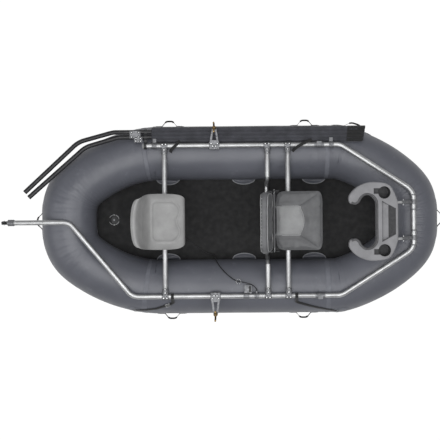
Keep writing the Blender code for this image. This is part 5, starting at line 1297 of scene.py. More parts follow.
for node, x in (("rower_crossbar", -0.619), ("seat_crossbar", 0.404)):
    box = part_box(node)
    ends = [(x, box[0].y, RAIL_Z), (x, box[1].y, RAIL_Z)]
    showing(tube(node + "_tube", ends, RAIL_RADIUS, aluminium), node)
print("anchor arm and rail, m:", round(distances(arm_line)[-1], 3))
print("bow hoop, m:", round(distances(hoop_line)[-1], 3))

# %% [markdown]
# The foot bar hangs from the rails: a thinner tube bent down to the rower's feet, between two
# stubs of rail tube. Four narrow metal bands sit round the hoop.

# %% Foot bar and hoop bands
FOOT_X = 0.234
FOOT_Z = 0.205
FOOT_RADIUS = 0.016
FOOT_BEND = 0.045
foot_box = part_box("foot_bar")
port_drop = [(0.366, RAIL_Z), (0.340, RAIL_Z), (0.305, FOOT_Z)]
drop = [(FOOT_X, y, z) for y, z in port_drop] + [(FOOT_X, -y, z) for y, z in port_drop[::-1]]
bar = tube("foot_bar_tube", bent(drop, FOOT_BEND), FOOT_RADIUS, aluminium)
showing(bar, "foot_bar")
for side, name in SIDES:
    ends = [(FOOT_X, side * 0.360, RAIL_Z), (FOOT_X, side * foot_box[1].y, RAIL_Z)]
    stub = tube("foot_bar_stub_" + name, ends, RAIL_RADIUS, aluminium, hollow=True, depth=0.004)
    riding(stub)

BAND_Y = (-0.205, -0.085, 0.085, 0.205)
BAND_WIDTH = 0.012
BAND_PROFILE = (
    (0.0208, 0), (0.0226, 0.0003), (0.0232, 0.0015), (0.0232, 0.0105), (0.0226, 0.0117),
    (0.0208, BAND_WIDTH),
)
for number, y in enumerate(BAND_Y):
    band_foot = (HOOP_CORNER_X, y - BAND_WIDTH / 2, CORNER_Z)
    band = turned(f"bow_hoop_band_{number}", band_foot, (0, 1, 0), BAND_PROFILE, fitting_metal, 40)
    riding(band)

# %% [markdown]
# Fly rods are carried in two plastic tubes along the port side, which rise and bend inwards at
# the stern. Each tube follows its CAD route and has an open bore.

# %% Rod tubes
ROD_Z = RAIL_Z - 0.0258
ROD_END_Z = RAIL_Z + 0.0362
ROD_RADIUS = 0.019
for node, inward in (("rod_tube_outer", 0), ("rod_tube_inner", 1)):
    y = RAIL_Y + 0.117 - inward * 0.042
    line = bent([
        (-1.770 + inward * 0.033, 0.248 - inward * 0.042, ROD_END_Z),
        (-1.335 + inward * 0.060, RAIL_Y + 0.039 - inward * 0.042, ROD_Z),
        (-1.045 + inward * 0.040, y, ROD_Z), (-0.725, y, ROD_Z),
    ], 0.200)
    pipe = tube(node + "_pipe", line, ROD_RADIUS, rod_plastic, hollow=True, depth=0.06)
    showing(pipe, node)
    print(node, "m:", round(distances(line)[-1], 3))

# %% [markdown]
# The tubes run into a quilted sleeve of four long padded channels, sewn between them. A short
# padded outline across the sleeve is repeated along it, a little fuller or flatter each time, so
# that the cover puckers as sewn padding does. Its bow end is gathered and slants.

# %% Rod sleeve
SLEEVE_STERN = -0.7247
SLEEVE_LENGTH = 1.780
SLEEVE_INNER_Y = 0.650
SLEEVE_LOBES = 4
SLEEVE_PITCH = 0.033
SLEEVE_HALF = 0.018
SLEEVE_SLANT = 0.022
HEM_LENGTH = 0.150
LOBE_STEPS = 12
sleeve_width = SLEEVE_LOBES * SLEEVE_PITCH


def sleeve_section():
    """The padded outline across the sleeve: share across, height, and which face it is on."""
    upper = []
    for step in range(SLEEVE_LOBES * LOBE_STEPS + 1):
        share = step / (SLEEVE_LOBES * LOBE_STEPS)
        lobe = abs(math.sin(math.pi * SLEEVE_LOBES * share)) ** 0.8
        edge = min(1, math.sqrt(max(0, min(share, 1 - share)) * 2 * SLEEVE_LOBES))
        upper.append((share, SLEEVE_HALF * (0.40 + 0.60 * lobe) * edge))
    return upper + [(share, -height) for share, height in reversed(upper[1:-1])]


outline = sleeve_section()
rows = []
fars = list(np.arange(0, SLEEVE_LENGTH, 0.0065)) + [SLEEVE_LENGTH - 0.0008]
for far in fars:
    rows.append([])
    near_bow = max(0.0, (far - (SLEEVE_LENGTH - HEM_LENGTH)) / HEM_LENGTH)
    for share, height in outline:
        slant = SLEEVE_SLANT * (1 - share) * (far / SLEEVE_LENGTH) ** 6
        pucker = math.sin(far * 190 + 6 * math.sin(far * 31) + 3 * share)
        wave = math.sin(far * 23 + 4 * share) + 0.6 * math.sin(far * 41 - 9 * share)
        gather = 0.10 * near_bow * (0.5 + 0.5 * math.sin(far * 260 + 8 * share))
        full = 1 - 0.05 * (0.5 + 0.5 * pucker) - 0.03 * wave - gather
        rows[-1].append((
            SLEEVE_STERN + far - slant,
            SLEEVE_INNER_Y + 0.0015 + share * (sleeve_width - 0.003) + 0.0008 * wave,
            ROD_Z + height * min(1.0, full),
        ))
mouth = rows[-1]
centre_y = SLEEVE_INNER_Y + sleeve_width / 2
for inward, shrink in ((0.0, 0.90), (0.004, 0.80), (0.030, 0.74)):
    narrow = 0.985 if inward == 0 else 0.97
    rows.append([
        (x - inward, centre_y + (y - centre_y) * narrow, ROD_Z + (z - ROD_Z) * shrink)
        for x, y, z in mouth
    ])
us = distances([(0, share * sleeve_width, height) for share, height in outline], True)
sleeve_fars = fars + [SLEEVE_LENGTH] * 4
sleeve_mesh = grid("rod_sleeve_cover", rows, us, sleeve_fars, around=True, capped=True)
sleeve = placed("rod_sleeve_cover", sleeve_mesh, sleeve_fabric)
showing(sleeve, "rod_sleeve")
print("sleeve, m:", SLEEVE_LENGTH, "by", round(sleeve_width, 3))

# %% [markdown]
# The hem is a band of webbing round the sleeve's bow end, a little larger than the cover, and
# gathered by small waves. Stitches run between the channels.

# %% Hem and quilting
hem_rows = []
for far in np.arange(SLEEVE_LENGTH - HEM_LENGTH, SLEEVE_LENGTH - 0.002, 0.004):
    row = []
    for share, height in outline:
        slant = SLEEVE_SLANT * (1 - share) * (far / SLEEVE_LENGTH) ** 6
        gather = 0.0009 * math.sin(far * 330 + 5 * math.sin(share * 14))
        gather = gather + 0.0006 * math.sin(far * 150 + 9 * share)
        row.append((
            SLEEVE_STERN + far - slant, centre_y + (share - 0.5) * (sleeve_width + 0.001),
            ROD_Z + height * 1.03 + math.copysign(0.0012 + gather, height if abs(height) > 1e-6 else 1),
        ))
    hem_rows.append(row)
hem_mesh = grid("rod_sleeve_hem", hem_rows, us, None, around=True)
hem = placed("rod_sleeve_hem", hem_mesh, webbing)
riding(hem)
for number in range(1, SLEEVE_LOBES):
    y = SLEEVE_INNER_Y + number * SLEEVE_PITCH
    seam_z = ROD_Z + SLEEVE_HALF * 0.40
    spots = [
        (Vector((SLEEVE_STERN + far, y, seam_z)), Vector((0, 0, 1)), Vector((0, 1, 0)))
        for far in np.arange(0.01, SLEEVE_LENGTH - HEM_LENGTH, 0.05)
    ]
    quilting = stitches(f"rod_sleeve_stitches_{number}", spots, 0.0, 0.0006, pitch=0.006)
    riding(quilting)

# %% [markdown]
# Seven carry handles are bonded to the tube's side. Each is a strip of webbing that lies on the
# hull at both ends and bows out between them, with a rolled rubber grip in its middle, a round
# patch under each end, and stitches across the ends.

# %% Carry handles
HANDLE_WIDTH = 0.030
HANDLE_LENGTH = 0.220
HANDLE_GRIP = 0.140
HANDLE_BOW = 0.042
WEB = 0.003


def node_x(node):
    """The middle of a CAD node along the hull."""
    return float(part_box(node)[0].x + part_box(node)[1].x) / 2


# The middle of each handle, as a distance along the ring
HANDLES = {name: far_at(node_x(name)) for name in ("handle_port_stern", "handle_port_middle")}
HANDLES["handle_port_bow"] = far_at(0.918)
HANDLES.update({
    name: far_at(node_x(name), STARBOARD) for name in ("handle_starboard_stern", "handle_starboard_bow")
})
HANDLES.update({"handle_stern": 0.0, "handle_bow": HALF_RING})
for node, middle in HANDLES.items():
    spots = []
    grip = []
    for step in range(-36, 37):
        place_along = HANDLE_LENGTH / 2 * step / 36
        bow_share = 0
        if abs(place_along) < HANDLE_GRIP / 2:
            bow_share = 1 - (1 - math.cos(math.pi * place_along / HANDLE_GRIP) ** 2) ** 2.2
        lift = WEB / 2 + 0.0012 + bow_share * HANDLE_BOW
        point, ray = hull_spot(middle + place_along, math.pi / 2, lift)
        spots.append((point, ray, Vector((0, 0, 1))))
        if bow_share > 0.70:
            grip.append(point)
    framed = []
    for number, (point, ray, wide) in enumerate(spots):
        run = spots[min(number + 1, len(spots) - 1)][0] - spots[max(number - 1, 0)][0]
        framed.append((point, run.cross(wide).normalized(), wide))
    showing(strip(node + "_webbing", framed, HANDLE_WIDTH, WEB, webbing), node)
    roll = tube(node + "_grip", smooth_route(grip, 2), 0.0070, rubber, sides=20, edge=0.002)
    riding(roll)
    for end in (-1, 1):
        foot_far = middle + end * (HANDLE_LENGTH / 2 - 0.020)
        patch(f"{node}_patch_{end + 1}", foot_far, math.pi / 2, 0.034, 0.034)
    for offset in (-0.011, 0.011):
        for name, part in (("a", framed[1:12]), ("b", framed[-12:-1])):
            outward = 1 if (part[0][1].dot(spots[0][1]) > 0) else -1
            label = f"{node}_stitches_{name}_{int(offset * 1000) + 11}"
            riding(stitches(label, part, offset, outward * WEB / 2))
print("carry handles:", len(HANDLES))

# %% [markdown]
# Straps tie the frame down. The two starboard ones wrap over the rail, run down on to the hull
# along their CAD routes, and end at a steel D-ring on a bonded patch.

# %% Starboard straps
STRAP_WIDTH = 0.025
STRAP_CLEARANCE = 0.0016
STRAP_TOUCH_REACH = 0.075
STRAP_STITCH_OFFSETS = (-0.0095, 0.0095)


def strap_spots(rail_x, hull_x, side, end_turn, start=-95, wrap_end=50):
    """A strap over the rail and down on to the hull: points, normals and across."""
    lift = WEB / 2 + STRAP_CLEARANCE
    spots = []
    start_turn = math.atan2(RAIL_Y + STRAP_TOUCH_REACH - HULL_HALF, TUBE_RADIUS)
    for step in range(25):
        turn = math.radians(start + (wrap_end - start) * step / 24)
        ray = Vector((0, side * math.sin(turn), math.cos(turn)))
        spot = Vector((rail_x, side * RAIL_Y, RAIL_Z)) + ray * (RAIL_RADIUS + lift)
        spots.append((spot, ray))
    for step in range(25):
        turn = start_turn + (end_turn - start_turn) * step / 24
        x = rail_x + (hull_x - rail_x) * step / 24
        spots.append(hull_spot(far_at(x, side), turn, lift + 0.0004))
    path = []
    for number, (point, ray) in enumerate(spots):
        before, after = spots[max(0, number - 1)][0], spots[min(len(spots) - 1, number + 1)][0]
        wide = ray.cross(after - before).normalized()
        path.append((point, ray, wide))
    return path


def d_ring(name, spot, ray, run, half=0.018, wire=0.0026, lift=0.0045):
    """A steel D on the hull: its straight side across the strap, its bow ahead."""
    run = (run - ray * run.dot(ray)).normalized()
    wide = ray.cross(run)
    centre = spot + ray * lift
    flat = [centre + wide * half * (1 - 2 * step / 8) for step in range(9)]
    turns = [math.pi * step / 16 for step in range(1, 16)]
    arc = [centre - wide * half * math.cos(turn) + run * 0.026 * math.sin(turn) for turn in turns]
    return riding(loop(name, flat + arc, ray, wire, stainless))


# Where each crosses the rail, where it ends on the hull, and its side
STRAPS = {
    "strap_starboard_stern": (-0.560, -0.840, STARBOARD),
    "strap_starboard_bow": (0.470, 0.813, STARBOARD),
}
END_TURN = math.radians(62)
for node, (rail_x, hull_x, side) in STRAPS.items():
    path = strap_spots(rail_x, hull_x, side, END_TURN)
    showing(strip(node + "_webbing", path, STRAP_WIDTH, WEB, webbing), node)
    for offset in STRAP_STITCH_OFFSETS:
        label = f"{node}_stitches_{int(offset * 1e4) + 95}"
        riding(stitches(label, path[30:], offset, WEB / 2))
    spot, ray, _ = path[-1]
    run = path[-1][0] - path[-3][0]
    d_ring(node + "_ring", spot, ray, run)
    patch_far = far_at(hull_x, side) + (-0.012 if hull_x > 0 else 0.012)
    patch(node + "_patch", patch_far, END_TURN + 0.03, 0.050, 0.050, power=2.4)
    print(node, "m:", round(distances([point for point, _, _ in path])[-1], 3))

# %% [markdown]
# The rower's seat is one moulded shell. A coarse cage of points gives pan, bend and back, and a
# Subdivision Surface modifier smooths it, as a mould has no corners. Then a raised outline is
# pressed into the pan, and Solidify gives the shell its wall.

# %% Rower's seat
SEAT_WALL = 0.006
SEAT_FRONT_X = -0.452
SEAT_DEPTH = 0.412
SEAT_HALF_WIDTH = 0.228
PAN_Z = RAIL_Z + 0.0682
SEAT_BACK_RISE = 0.270
SEAT_SIDE_RISE = 0.034
SEAT_ROWS = 7
OUTLINE_X = -0.605
OUTLINE_HALF = (0.113, 0.165)
OUTLINE_CORNER = 0.045
OUTLINE_NOTCH = 0.026
OUTLINE_BULGE_PITCH = 0.17
seat_profile_shares = (
    (0.00, -0.100, 0.80, 0.0), (0.012, -0.020, 0.88, 0.2), (0.09, 0.022, 0.97, 0.5),
    (0.30, 0.000, 1.00, 1.0), (0.55, -0.010, 1.00, 1.0), (0.68, 0.020, 0.99, 1.1),
    (0.75, 0.150, 0.98, 0.8), (0.815, 0.480, 0.95, 0.4), (0.865, 0.840, 0.91, 0.2),
    (0.91, 0.985, 0.87, 0.1), (0.96, 1.000, 0.84, 0.0), (1.00, 0.940, 0.82, 0.0),
)
rows = []
for along_share, up, wide, sides in seat_profile_shares:
    row = []
    for step in range(SEAT_ROWS):
        sideways = 2 * step / (SEAT_ROWS - 1) - 1
        spread = math.sin(sideways * math.pi / 2 * 0.94) / math.sin(math.pi / 2 * 0.94)
        lift = sides * SEAT_SIDE_RISE * abs(sideways) ** 4
        tuck = SEAT_BACK_RISE * 0.16 * up * sideways ** 2 if up > 0.1 else 0
        row.append((
            SEAT_FRONT_X - along_share * SEAT_DEPTH + tuck, spread * wide * SEAT_HALF_WIDTH,
            PAN_Z + up * SEAT_BACK_RISE + lift,
        ))
    rows.append(row)
seat = placed("rower_seat_shell", grid("rower_seat_shell", rows), seat_plastic)
finer = seat.modifiers.new("smooth", "SUBSURF")
finer.levels = finer.render_levels = 4
baked(seat)


def pressed(x, y):
    """How far inside the pan's raised outline a spot is: a D with two bulges on its bow edge."""
    between = (1 + math.cos(2 * math.pi * y / OUTLINE_BULGE_PITCH)) / 2
    bow_edge = OUTLINE_HALF[0] - OUTLINE_NOTCH * between
    over_x = max(OUTLINE_X - x - OUTLINE_HALF[0], x - OUTLINE_X - bow_edge) + OUTLINE_CORNER
    over_y = abs(y) - OUTLINE_HALF[1] + OUTLINE_CORNER
    return OUTLINE_CORNER - math.hypot(max(over_x, 0), max(over_y, 0)) - min(max(over_x, over_y), 0)


for vert in seat.data.vertices:
    x, y, z = vert.co
    if z < PAN_Z + 0.07:
        distance = pressed(x, y)
        ridge = 0.0050 * math.exp(-(distance / 0.0080) ** 2)
        dish = -0.0022 * min(1, max(0, distance / 0.03))
        vert.co.z += ridge + dish
    else:
        band = abs(z - (PAN_Z + 0.155))
        vert.co.x += 0.0030 * math.exp(-(band / 0.012) ** 2) * (1 if abs(y) < 0.17 else 0.4)
wall = seat.modifiers.new("wall", "SOLIDIFY")
wall.thickness = SEAT_WALL
wall.offset = 0
wall.use_even_offset = True
baked(seat)
seat.data.shade_smooth()
eased(seat, 0.0014, 2, 50)
showing(seat, "rower_seat")
print("rower's seat, m:", [round(size, 3) for size in seat.dimensions])

# %% [markdown]
# The lean brace is a rotomoulded slab, hollow in life, against which a standing angler leans. A
# flat curve with its outline is given height and rounded rims, which is quicker than a bevel
# round so many corners, and the result is turned into a mesh.

# %% Slab of the lean brace
BRACE_REAR_X = 0.862
BRACE_DEPTH = 0.390
BRACE_HALF_WIDTH = 0.310
BRACE_Z = RAIL_Z + 0.3112
BRACE_TOP = BRACE_Z + 0.050
CUP_X = 1.144
CUP_Y = 0.228
CUP_RADIUS = 0.049
CUP_DEPTH = 0.086
CUP_WALL = 0.006
brace_outline_shares = (
    (1.0, 0.0), (1.0, 0.42), (0.975, 0.58), (0.92, 0.75), (0.85, 0.90), (0.73, 0.975),
    (0.58, 1.0), (0.43, 1.0), (0.28, 0.95), (0.14, 0.85), (0.03, 0.70), (0.0, 0.58),
    (0.03, 0.47), (0.11, 0.44), (0.18, 0.50), (0.22, 0.59), (0.29, 0.665), (0.37, 0.68),
    (0.46, 0.64), (0.525, 0.55), (0.55, 0.43), (0.55, 0.0),
)


def soft_slab(name, outline, low, high, rounding, material):
    """An upright slab of that outline whose top and bottom edges are rounded."""
    curve = bpy.data.curves.new(name, "CURVE")
    curve.dimensions = "2D"
    curve.fill_mode = "BOTH"
    curve.extrude = (high - low) / 2 - rounding
    curve.bevel_depth = rounding
    curve.bevel_resolution = 4
    curve.offset = -rounding
    spline = curve.splines.new("POLY")
    spline.points.add(len(outline) - 1)
    for slot_point, (x, y) in zip(spline.points, outline):
        slot_point.co = (x, y, 0, 1)
    spline.use_cyclic_u = True
    shape = bpy.data.objects.new(name, curve)
    bpy.context.scene.collection.objects.link(shape)
    depsgraph = bpy.context.evaluated_depsgraph_get()
    mesh = bpy.data.meshes.new_from_object(shape.evaluated_get(depsgraph))
    bpy.data.objects.remove(shape)
    mesh.transform(Matrix.Translation((0, 0, (low + high) / 2)))
    merged = bmesh.new()
    merged.from_mesh(mesh)
    bmesh.ops.remove_doubles(merged, verts=merged.verts, dist=0.00005)
    bmesh.ops.recalc_face_normals(merged, faces=merged.faces)
    merged.to_mesh(mesh)
    merged.free()
    return placed(name, mesh, material)


# %% [markdown]
# The slab is then cut: two cup wells with walls below, a notch beside each cup for its handle,
# and a tray that slopes up to the bow. Exact booleans do it, as a cutter would. What lies in the
# wells, on the notches' floors and on the slope gets the darker liner, whose colour is painted shade.

# %% Cups, notches and tray
def carve(piece, solid, operation):
    """One exact boolean, applied; the other solid is removed."""
    cut = piece.modifiers.new(operation.lower(), "BOOLEAN")
    cut.operation = operation
    cut.solver = "EXACT"
    cut.object = solid
    baked(piece)
    bpy.data.objects.remove(solid)


half_outline = [
    (BRACE_REAR_X + along_share * BRACE_DEPTH, left * BRACE_HALF_WIDTH)
    for along_share, left in brace_outline_shares
]
whole_outline = half_outline + [(x, -y) for x, y in half_outline[-2:0:-1]]
whole_outline = smooth_flat(whole_outline, 6, True)
brace = soft_slab("lean_brace_shell", whole_outline, BRACE_Z, BRACE_TOP, 0.009, brace_plastic)
NOTCH_REACH = 0.035
NOTCH_HALF = 0.022
NOTCH_DEPTH = 0.030
TRAY_DEPTH = 0.034
CUT_ABOVE = 0.004
CUP_TAPER = 0.9
cup_bottom = BRACE_TOP - CUP_DEPTH
cut_top = BRACE_TOP + CUT_ABOVE
for side in (PORT, STARBOARD):
    y = side * CUP_Y
    wall_radius = CUP_RADIUS + CUP_WALL
    cup = frustum(
        "cup", circle((CUP_X, y, cup_bottom - CUP_WALL), (0, 0, 1), wall_radius * CUP_TAPER, 64),
        circle((CUP_X, y, BRACE_Z + 0.006), (0, 0, 1), wall_radius, 64),
    )
    carve(brace, cup, "UNION")
for side in (PORT, STARBOARD):
    y = side * CUP_Y
    well = frustum(
        "well", circle((CUP_X, y, cup_bottom), (0, 0, 1), CUP_RADIUS * CUP_TAPER, 64),
        circle((CUP_X, y, cut_top), (0, 0, 1), CUP_RADIUS, 64),
    )
    carve(brace, well, "DIFFERENCE")
    middle_y = y + side * 0.012
    near_y, far_y = middle_y - NOTCH_HALF, middle_y + NOTCH_HALF
    notch_x = CUP_X - CUP_RADIUS - NOTCH_REACH
    corners = [(notch_x, near_y), (CUP_X, near_y), (CUP_X, far_y), (notch_x, far_y)]
    notch_low = [
        (x + (0.004 if x == notch_x else 0), y, BRACE_TOP - NOTCH_DEPTH) for x, y in corners
    ]
    notch = frustum("notch", notch_low, [(x, y, cut_top) for x, y in corners])
    carve(brace, notch, "DIFFERENCE")
tray_low = [(1.134, -0.150), (1.180, -0.128), (1.180, 0.128), (1.134, 0.150)]
tray_high = [(1.124, -0.164), (1.240, -0.100), (1.240, 0.100), (1.124, 0.164)]
tray = frustum(
    "tray", [(x, y, BRACE_TOP - TRAY_DEPTH) for x, y in tray_low],
    [(x, y, cut_top) for x, y in tray_high],
)
carve(brace, tray, "DIFFERENCE")


def in_painted_shade(middle, up):
    """Whether a face of the brace lies in a cup, on a notch's floor or on the tray's slope, where shade
    is painted.
    """
    from_cup = min(math.hypot(middle.x - CUP_X, middle.y - side * CUP_Y) for side in (PORT, STARBOARD))
    in_cup = from_cup < CUP_RADIUS * 1.005 and up.z > -0.5
    in_cup = in_cup and cup_bottom - 0.001 < middle.z < BRACE_TOP - 0.006
    in_notch = abs(middle.z - (BRACE_TOP - NOTCH_DEPTH)) < 0.002
    in_notch = in_notch and middle.x < CUP_X and abs(middle.y) > 0.18
    on_slope = abs(middle.y) < 0.16 and 1.175 < middle.x < 1.245 and 0.05 < up.z < 0.9 and up.x < 0
    return in_cup or in_notch or on_slope


# The faces in these hollows get the darker liner, whose colour is painted shade.
brace.data.materials.append(painted_shade_liner)
for face in brace.data.polygons:
    if in_painted_shade(face.center, face.normal):
        face.material_index = 1
eased(brace, 0.0028, 3, 32)
showing(brace, "lean_brace")
print("brace faces before the bevel:", len(brace.data.polygons))

# %% [markdown]
# A ribbed rubber strip is pushed on to the brace's inner edge, from tip to tip. It is a tube
# swept along that edge and sunk a little into it.

# %% Grip strip
inner_edge = [
    (BRACE_REAR_X + along_share * BRACE_DEPTH, left * BRACE_HALF_WIDTH)
    for along_share, left in brace_outline_shares[12:]
]
strip_line = [(x + 0.010, y + (0.006 if y > 0.01 else 0)) for x, y in inner_edge]
strip_line += [(x, -y) for x, y in strip_line[-2::-1]]
grip_line = smooth_route([(x, y, BRACE_TOP - 0.0065) for x, y in strip_line], 5)
grip_strip = tube("lean_brace_grip_strip", grip_line, 0.0105, strip_rubber, sides=20, edge=0.003)
riding(grip_strip)
print("grip strip, m:", round(distances(grip_line)[-1], 3))

# %% [markdown]
# The front seat's cushion and back are foam in vinyl covers. Each starts as a slightly small
# pad, is remeshed evenly, and is swollen by a short cloth simulation with pressure inside, held
# back near its seams. That gives the fullness and soft creases that a plain bevel lacks.

# %% Pads
VOXEL = 0.006
SWELL_FRAMES = 20
PRESSURE = 4.0


def rounded_pad(size, corner, edge):
    """A closed pad about the origin: a rounded-corner outline with softly rounded rims."""
    half = Vector(size) / 2
    rows = []
    turns = 72
    for lift, draw in (
        (-1.0, 0.0), (-1.0, edge * 0.7), (-0.93, edge * 0.18), (-0.6, 0.0), (0.0, -0.002), (0.6, 0.0),
        (0.93, edge * 0.18), (1.0, edge * 0.7), (1.0, 0.0),
    ):
        row = []
        for step in range(turns):
            angle = 2 * math.pi * (step + 0.5) / turns
            cosine, sine = math.cos(angle), math.sin(angle)
            reach = (abs(cosine) ** corner + abs(sine) ** corner) ** (-1 / corner)
            row.append((
                cosine * reach * (half.x - draw), sine * reach * (half.y - draw), lift * half.z,
            ))
        rows.append(row)
    for index in (0, -1):
        rows[index] = [(x * 0.5, y * 0.5, z) for x, y, z in rows[index]]
    return grid("pad", rows, around=True, capped=True)


def swollen(name, start, cap, seam_gap, material):
    """A pad remeshed, swollen in a cloth simulation, held back near its seams."""
    piece = placed(name, start, material)
    remesh = piece.modifiers.new("remesh", "REMESH")
    remesh.mode = "VOXEL"
    remesh.voxel_size = VOXEL
    baked(piece)
    count = len(piece.data.vertices)
    rest = np.empty(count * 3)
    piece.data.vertices.foreach_get("co", rest)
    rest = rest.reshape(-1, 3)
    moved = rest.copy()
    cloth = piece.modifiers.new("cloth", "CLOTH")
    cloth.settings.use_pressure = True
    cloth.settings.uniform_pressure_force = PRESSURE
    cloth.settings.effector_weights.gravity = 0
    cloth.settings.quality = 4
    for number in range(1, SWELL_FRAMES + 1):
        bpy.context.scene.frame_set(number)
    depsgraph = bpy.context.evaluated_depsgraph_get()
    evaluated = piece.evaluated_get(depsgraph)
    pushed = np.empty(count * 3)
    evaluated.data.vertices.foreach_get("co", pushed)
    moved = pushed.reshape(-1, 3)
    piece.modifiers.clear()
    bpy.context.scene.frame_set(1)
    push = moved - rest
    length = np.linalg.norm(push, axis=1, keepdims=True)
    hold = 1 - np.exp(-(seam_gap(rest) / 0.022) ** 2)[:, None]
    limit = cap * (0.15 + 0.85 * hold)
    push = push * np.minimum(1, limit / np.maximum(length, 1e-9))
    piece.data.vertices.foreach_set("co", (rest + push).ravel())
    finer = piece.modifiers.new("smooth", "SUBSURF")
    finer.levels = finer.render_levels = 1
    baked(piece)
    return piece


# %% [markdown]
# A seam pulls the cover in, so points near a seam line sink into a groove. Piping is a thin cord
# in a strip of vinyl, sewn into the seam; here it is a tube that rays lay on the pad's face.

# %% Seams and piping
def segment_gap(points, seams):
    """The distance of each point from the nearest of some seam lines, seen from above."""
    spots = points[:, :2]
    nearest = np.full(len(points), 1.0)
    for line in seams:
        for start, end in zip(line, line[1:]):
            start, end = np.array(start), np.array(end)
            run = end - start
            share = np.clip(((spots - start) @ run) / max(run @ run, 1e-12), 0, 1)
            away = spots - (start + share[:, None] * run)
            nearest = np.minimum(nearest, np.linalg.norm(away, axis=1))
    return nearest


def fitted(piece, size):
    """Scales the pad's points so that it fills exactly its CAD size, about the origin."""
    count = len(piece.data.vertices)
    points = np.empty(count * 3)
    piece.data.vertices.foreach_get("co", points)
    points = points.reshape(-1, 3)
    low, high = points.min(0), points.max(0)
    points = (points - (low + high) / 2) * (np.array(size) / (high - low))
    piece.data.vertices.foreach_set("co", points.ravel())
    return points


def groove(piece, points, seams, depth, width, upper=True):
    """Sews seam lines into one face of a pad."""
    gap = segment_gap(points, seams)
    facing = points[:, 2] > 0 if upper else points[:, 2] < 0
    points[:, 2] -= (1 if upper else -1) * depth * np.exp(-(gap / width) ** 2) * facing
    piece.data.vertices.foreach_set("co", points.ravel())
    return points


def piping(name, piece, line, wire, material, from_above=True, sink=0.2):
    """A thin piped cord that lies on the pad's face along a seam line."""
    faces = surface(piece)
    way = Vector((0, 0, -1 if from_above else 1))
    points = []
    for x, y in line:
        hit = faces.ray_cast(Vector((x, y, 0)) - way * 0.2, way)[0]
        if hit is not None:
            points.append(hit - way * wire * (1 - sink))
    return tube(name, smooth_route(points, 2), wire, material, sides=10, edge=0.0004)


def soft_rim(half_x, half_y, power):
    """A rounded-corner outline, once round."""
    line = []
    for step in range(97):
        angle = 2 * math.pi * step / 96
        cosine, sine = math.cos(angle), math.sin(angle)
        reach = (abs(cosine) ** power + abs(sine) ** power) ** (-1 / power)
        line.append((cosine * reach * half_x, sine * reach * half_y))
    return line


# %% [markdown]
# The cushion has a light panel with a bowed edge, piped round, and two seams that run out to its
# bow corners. Its top is crowned, and its seams are sewn in as shallow grooves.

# %% Cushion
CUSHION_SIZE = (0.395, 0.490, 0.075)
CUSHION_STERN_X = 0.290
cushion_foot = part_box("front_seat_cushion")[0].z
CUSHION_MIDDLE = Vector((CUSHION_STERN_X, 0, cushion_foot)) + Vector(
    (CUSHION_SIZE[0] / 2, 0, CUSHION_SIZE[2] / 2)
)
CUSHION_CROWN = 0.013
PANEL_EDGE = 0.004
PANEL_BULGE = 0.038
PANEL_HALF = 0.121


def panel_bow_at(y):
    """Where the light panel's bowed edge lies."""
    return PANEL_EDGE + PANEL_BULGE * np.cos(math.pi / 2 * np.clip(y / PANEL_HALF, -1, 1))


panel_line = [(-0.198, PANEL_HALF), (-0.06, PANEL_HALF)] + [
    (float(panel_bow_at(y)), y) for y in (0.119, 0.10, 0.07, 0.035, 0, -0.035, -0.07, -0.10, -0.119)
] + [(-0.06, -PANEL_HALF), (-0.198, -PANEL_HALF)]
panel_line = smooth_flat(panel_line, 5)
corner_seams = [[(0.006, 0.123), (0.145, 0.212)], [(0.006, -0.123), (0.145, -0.212)]]
cushion_seams = [panel_line, *corner_seams]
start = rounded_pad((0.375, 0.470, 0.056), 7, 0.012)
cushion = swollen(
    "front_seat_cushion_pad", start, 0.012, lambda p: segment_gap(p, cushion_seams), seat_vinyl,
)
points = fitted(cushion, CUSHION_SIZE)
waist = 1 - 0.012 * np.exp(-((points[:, 2] + 0.004) / 0.016) ** 2)
points[:, 0] *= waist
points[:, 1] *= waist
shares = np.clip(np.abs(points[:, :2]) / (np.array(CUSHION_SIZE[:2]) / 2), 0, 1)
crown = (1 - shares[:, 0] ** 4) * (1 - shares[:, 1] ** 4)
points[:, 2] -= CUSHION_CROWN * (1 - crown) * np.clip(points[:, 2] / 0.03, 0, 1)
points = groove(cushion, points, cushion_seams, 0.0035, 0.0045)
cushion.data.materials.append(panel_vinyl)
count = len(cushion.data.polygons)
centres = np.empty(count * 3)
cushion.data.polygons.foreach_get("center", centres)
centres = centres.reshape(-1, 3)
bow_limit = panel_bow_at(centres[:, 1])
light = (centres[:, 2] > 0.004) & (np.abs(centres[:, 1]) < PANEL_HALF) & (centres[:, 0] < bow_limit)
cushion.data.polygons.foreach_set("material_index", light.astype(int))
piped = [piping("front_seat_cushion_panel_piping", cushion, panel_line[2:-2], 0.0021, piping_vinyl)]
for side, name in SIDES:
    line = [(0.006 + 0.139 * t, side * (0.123 + 0.089 * t)) for t in np.linspace(0, 1, 14)]
    piped.append(piping("front_seat_cushion_seam_" + name, cushion, line, 0.0014, seat_vinyl))
rim_line = soft_rim(0.182, 0.229, 7)
piped.append(piping("front_seat_cushion_rim_piping", cushion, rim_line, 0.0024, seat_vinyl))
for piece in (cushion, *piped):
    piece.data.transform(Matrix.Translation(CUSHION_MIDDLE))
    piece.data.shade_smooth()
    if piece is not cushion:
        riding(piece)
showing(cushion, "front_seat_cushion")
print("cushion, m:", CUSHION_SIZE, "light faces:", int(light.sum()))

# %% [markdown]
# The back is made the same way, lying flat about the origin, where its piping and lacing are
# added as well. Then all of it is stood up on the hinge in one move.

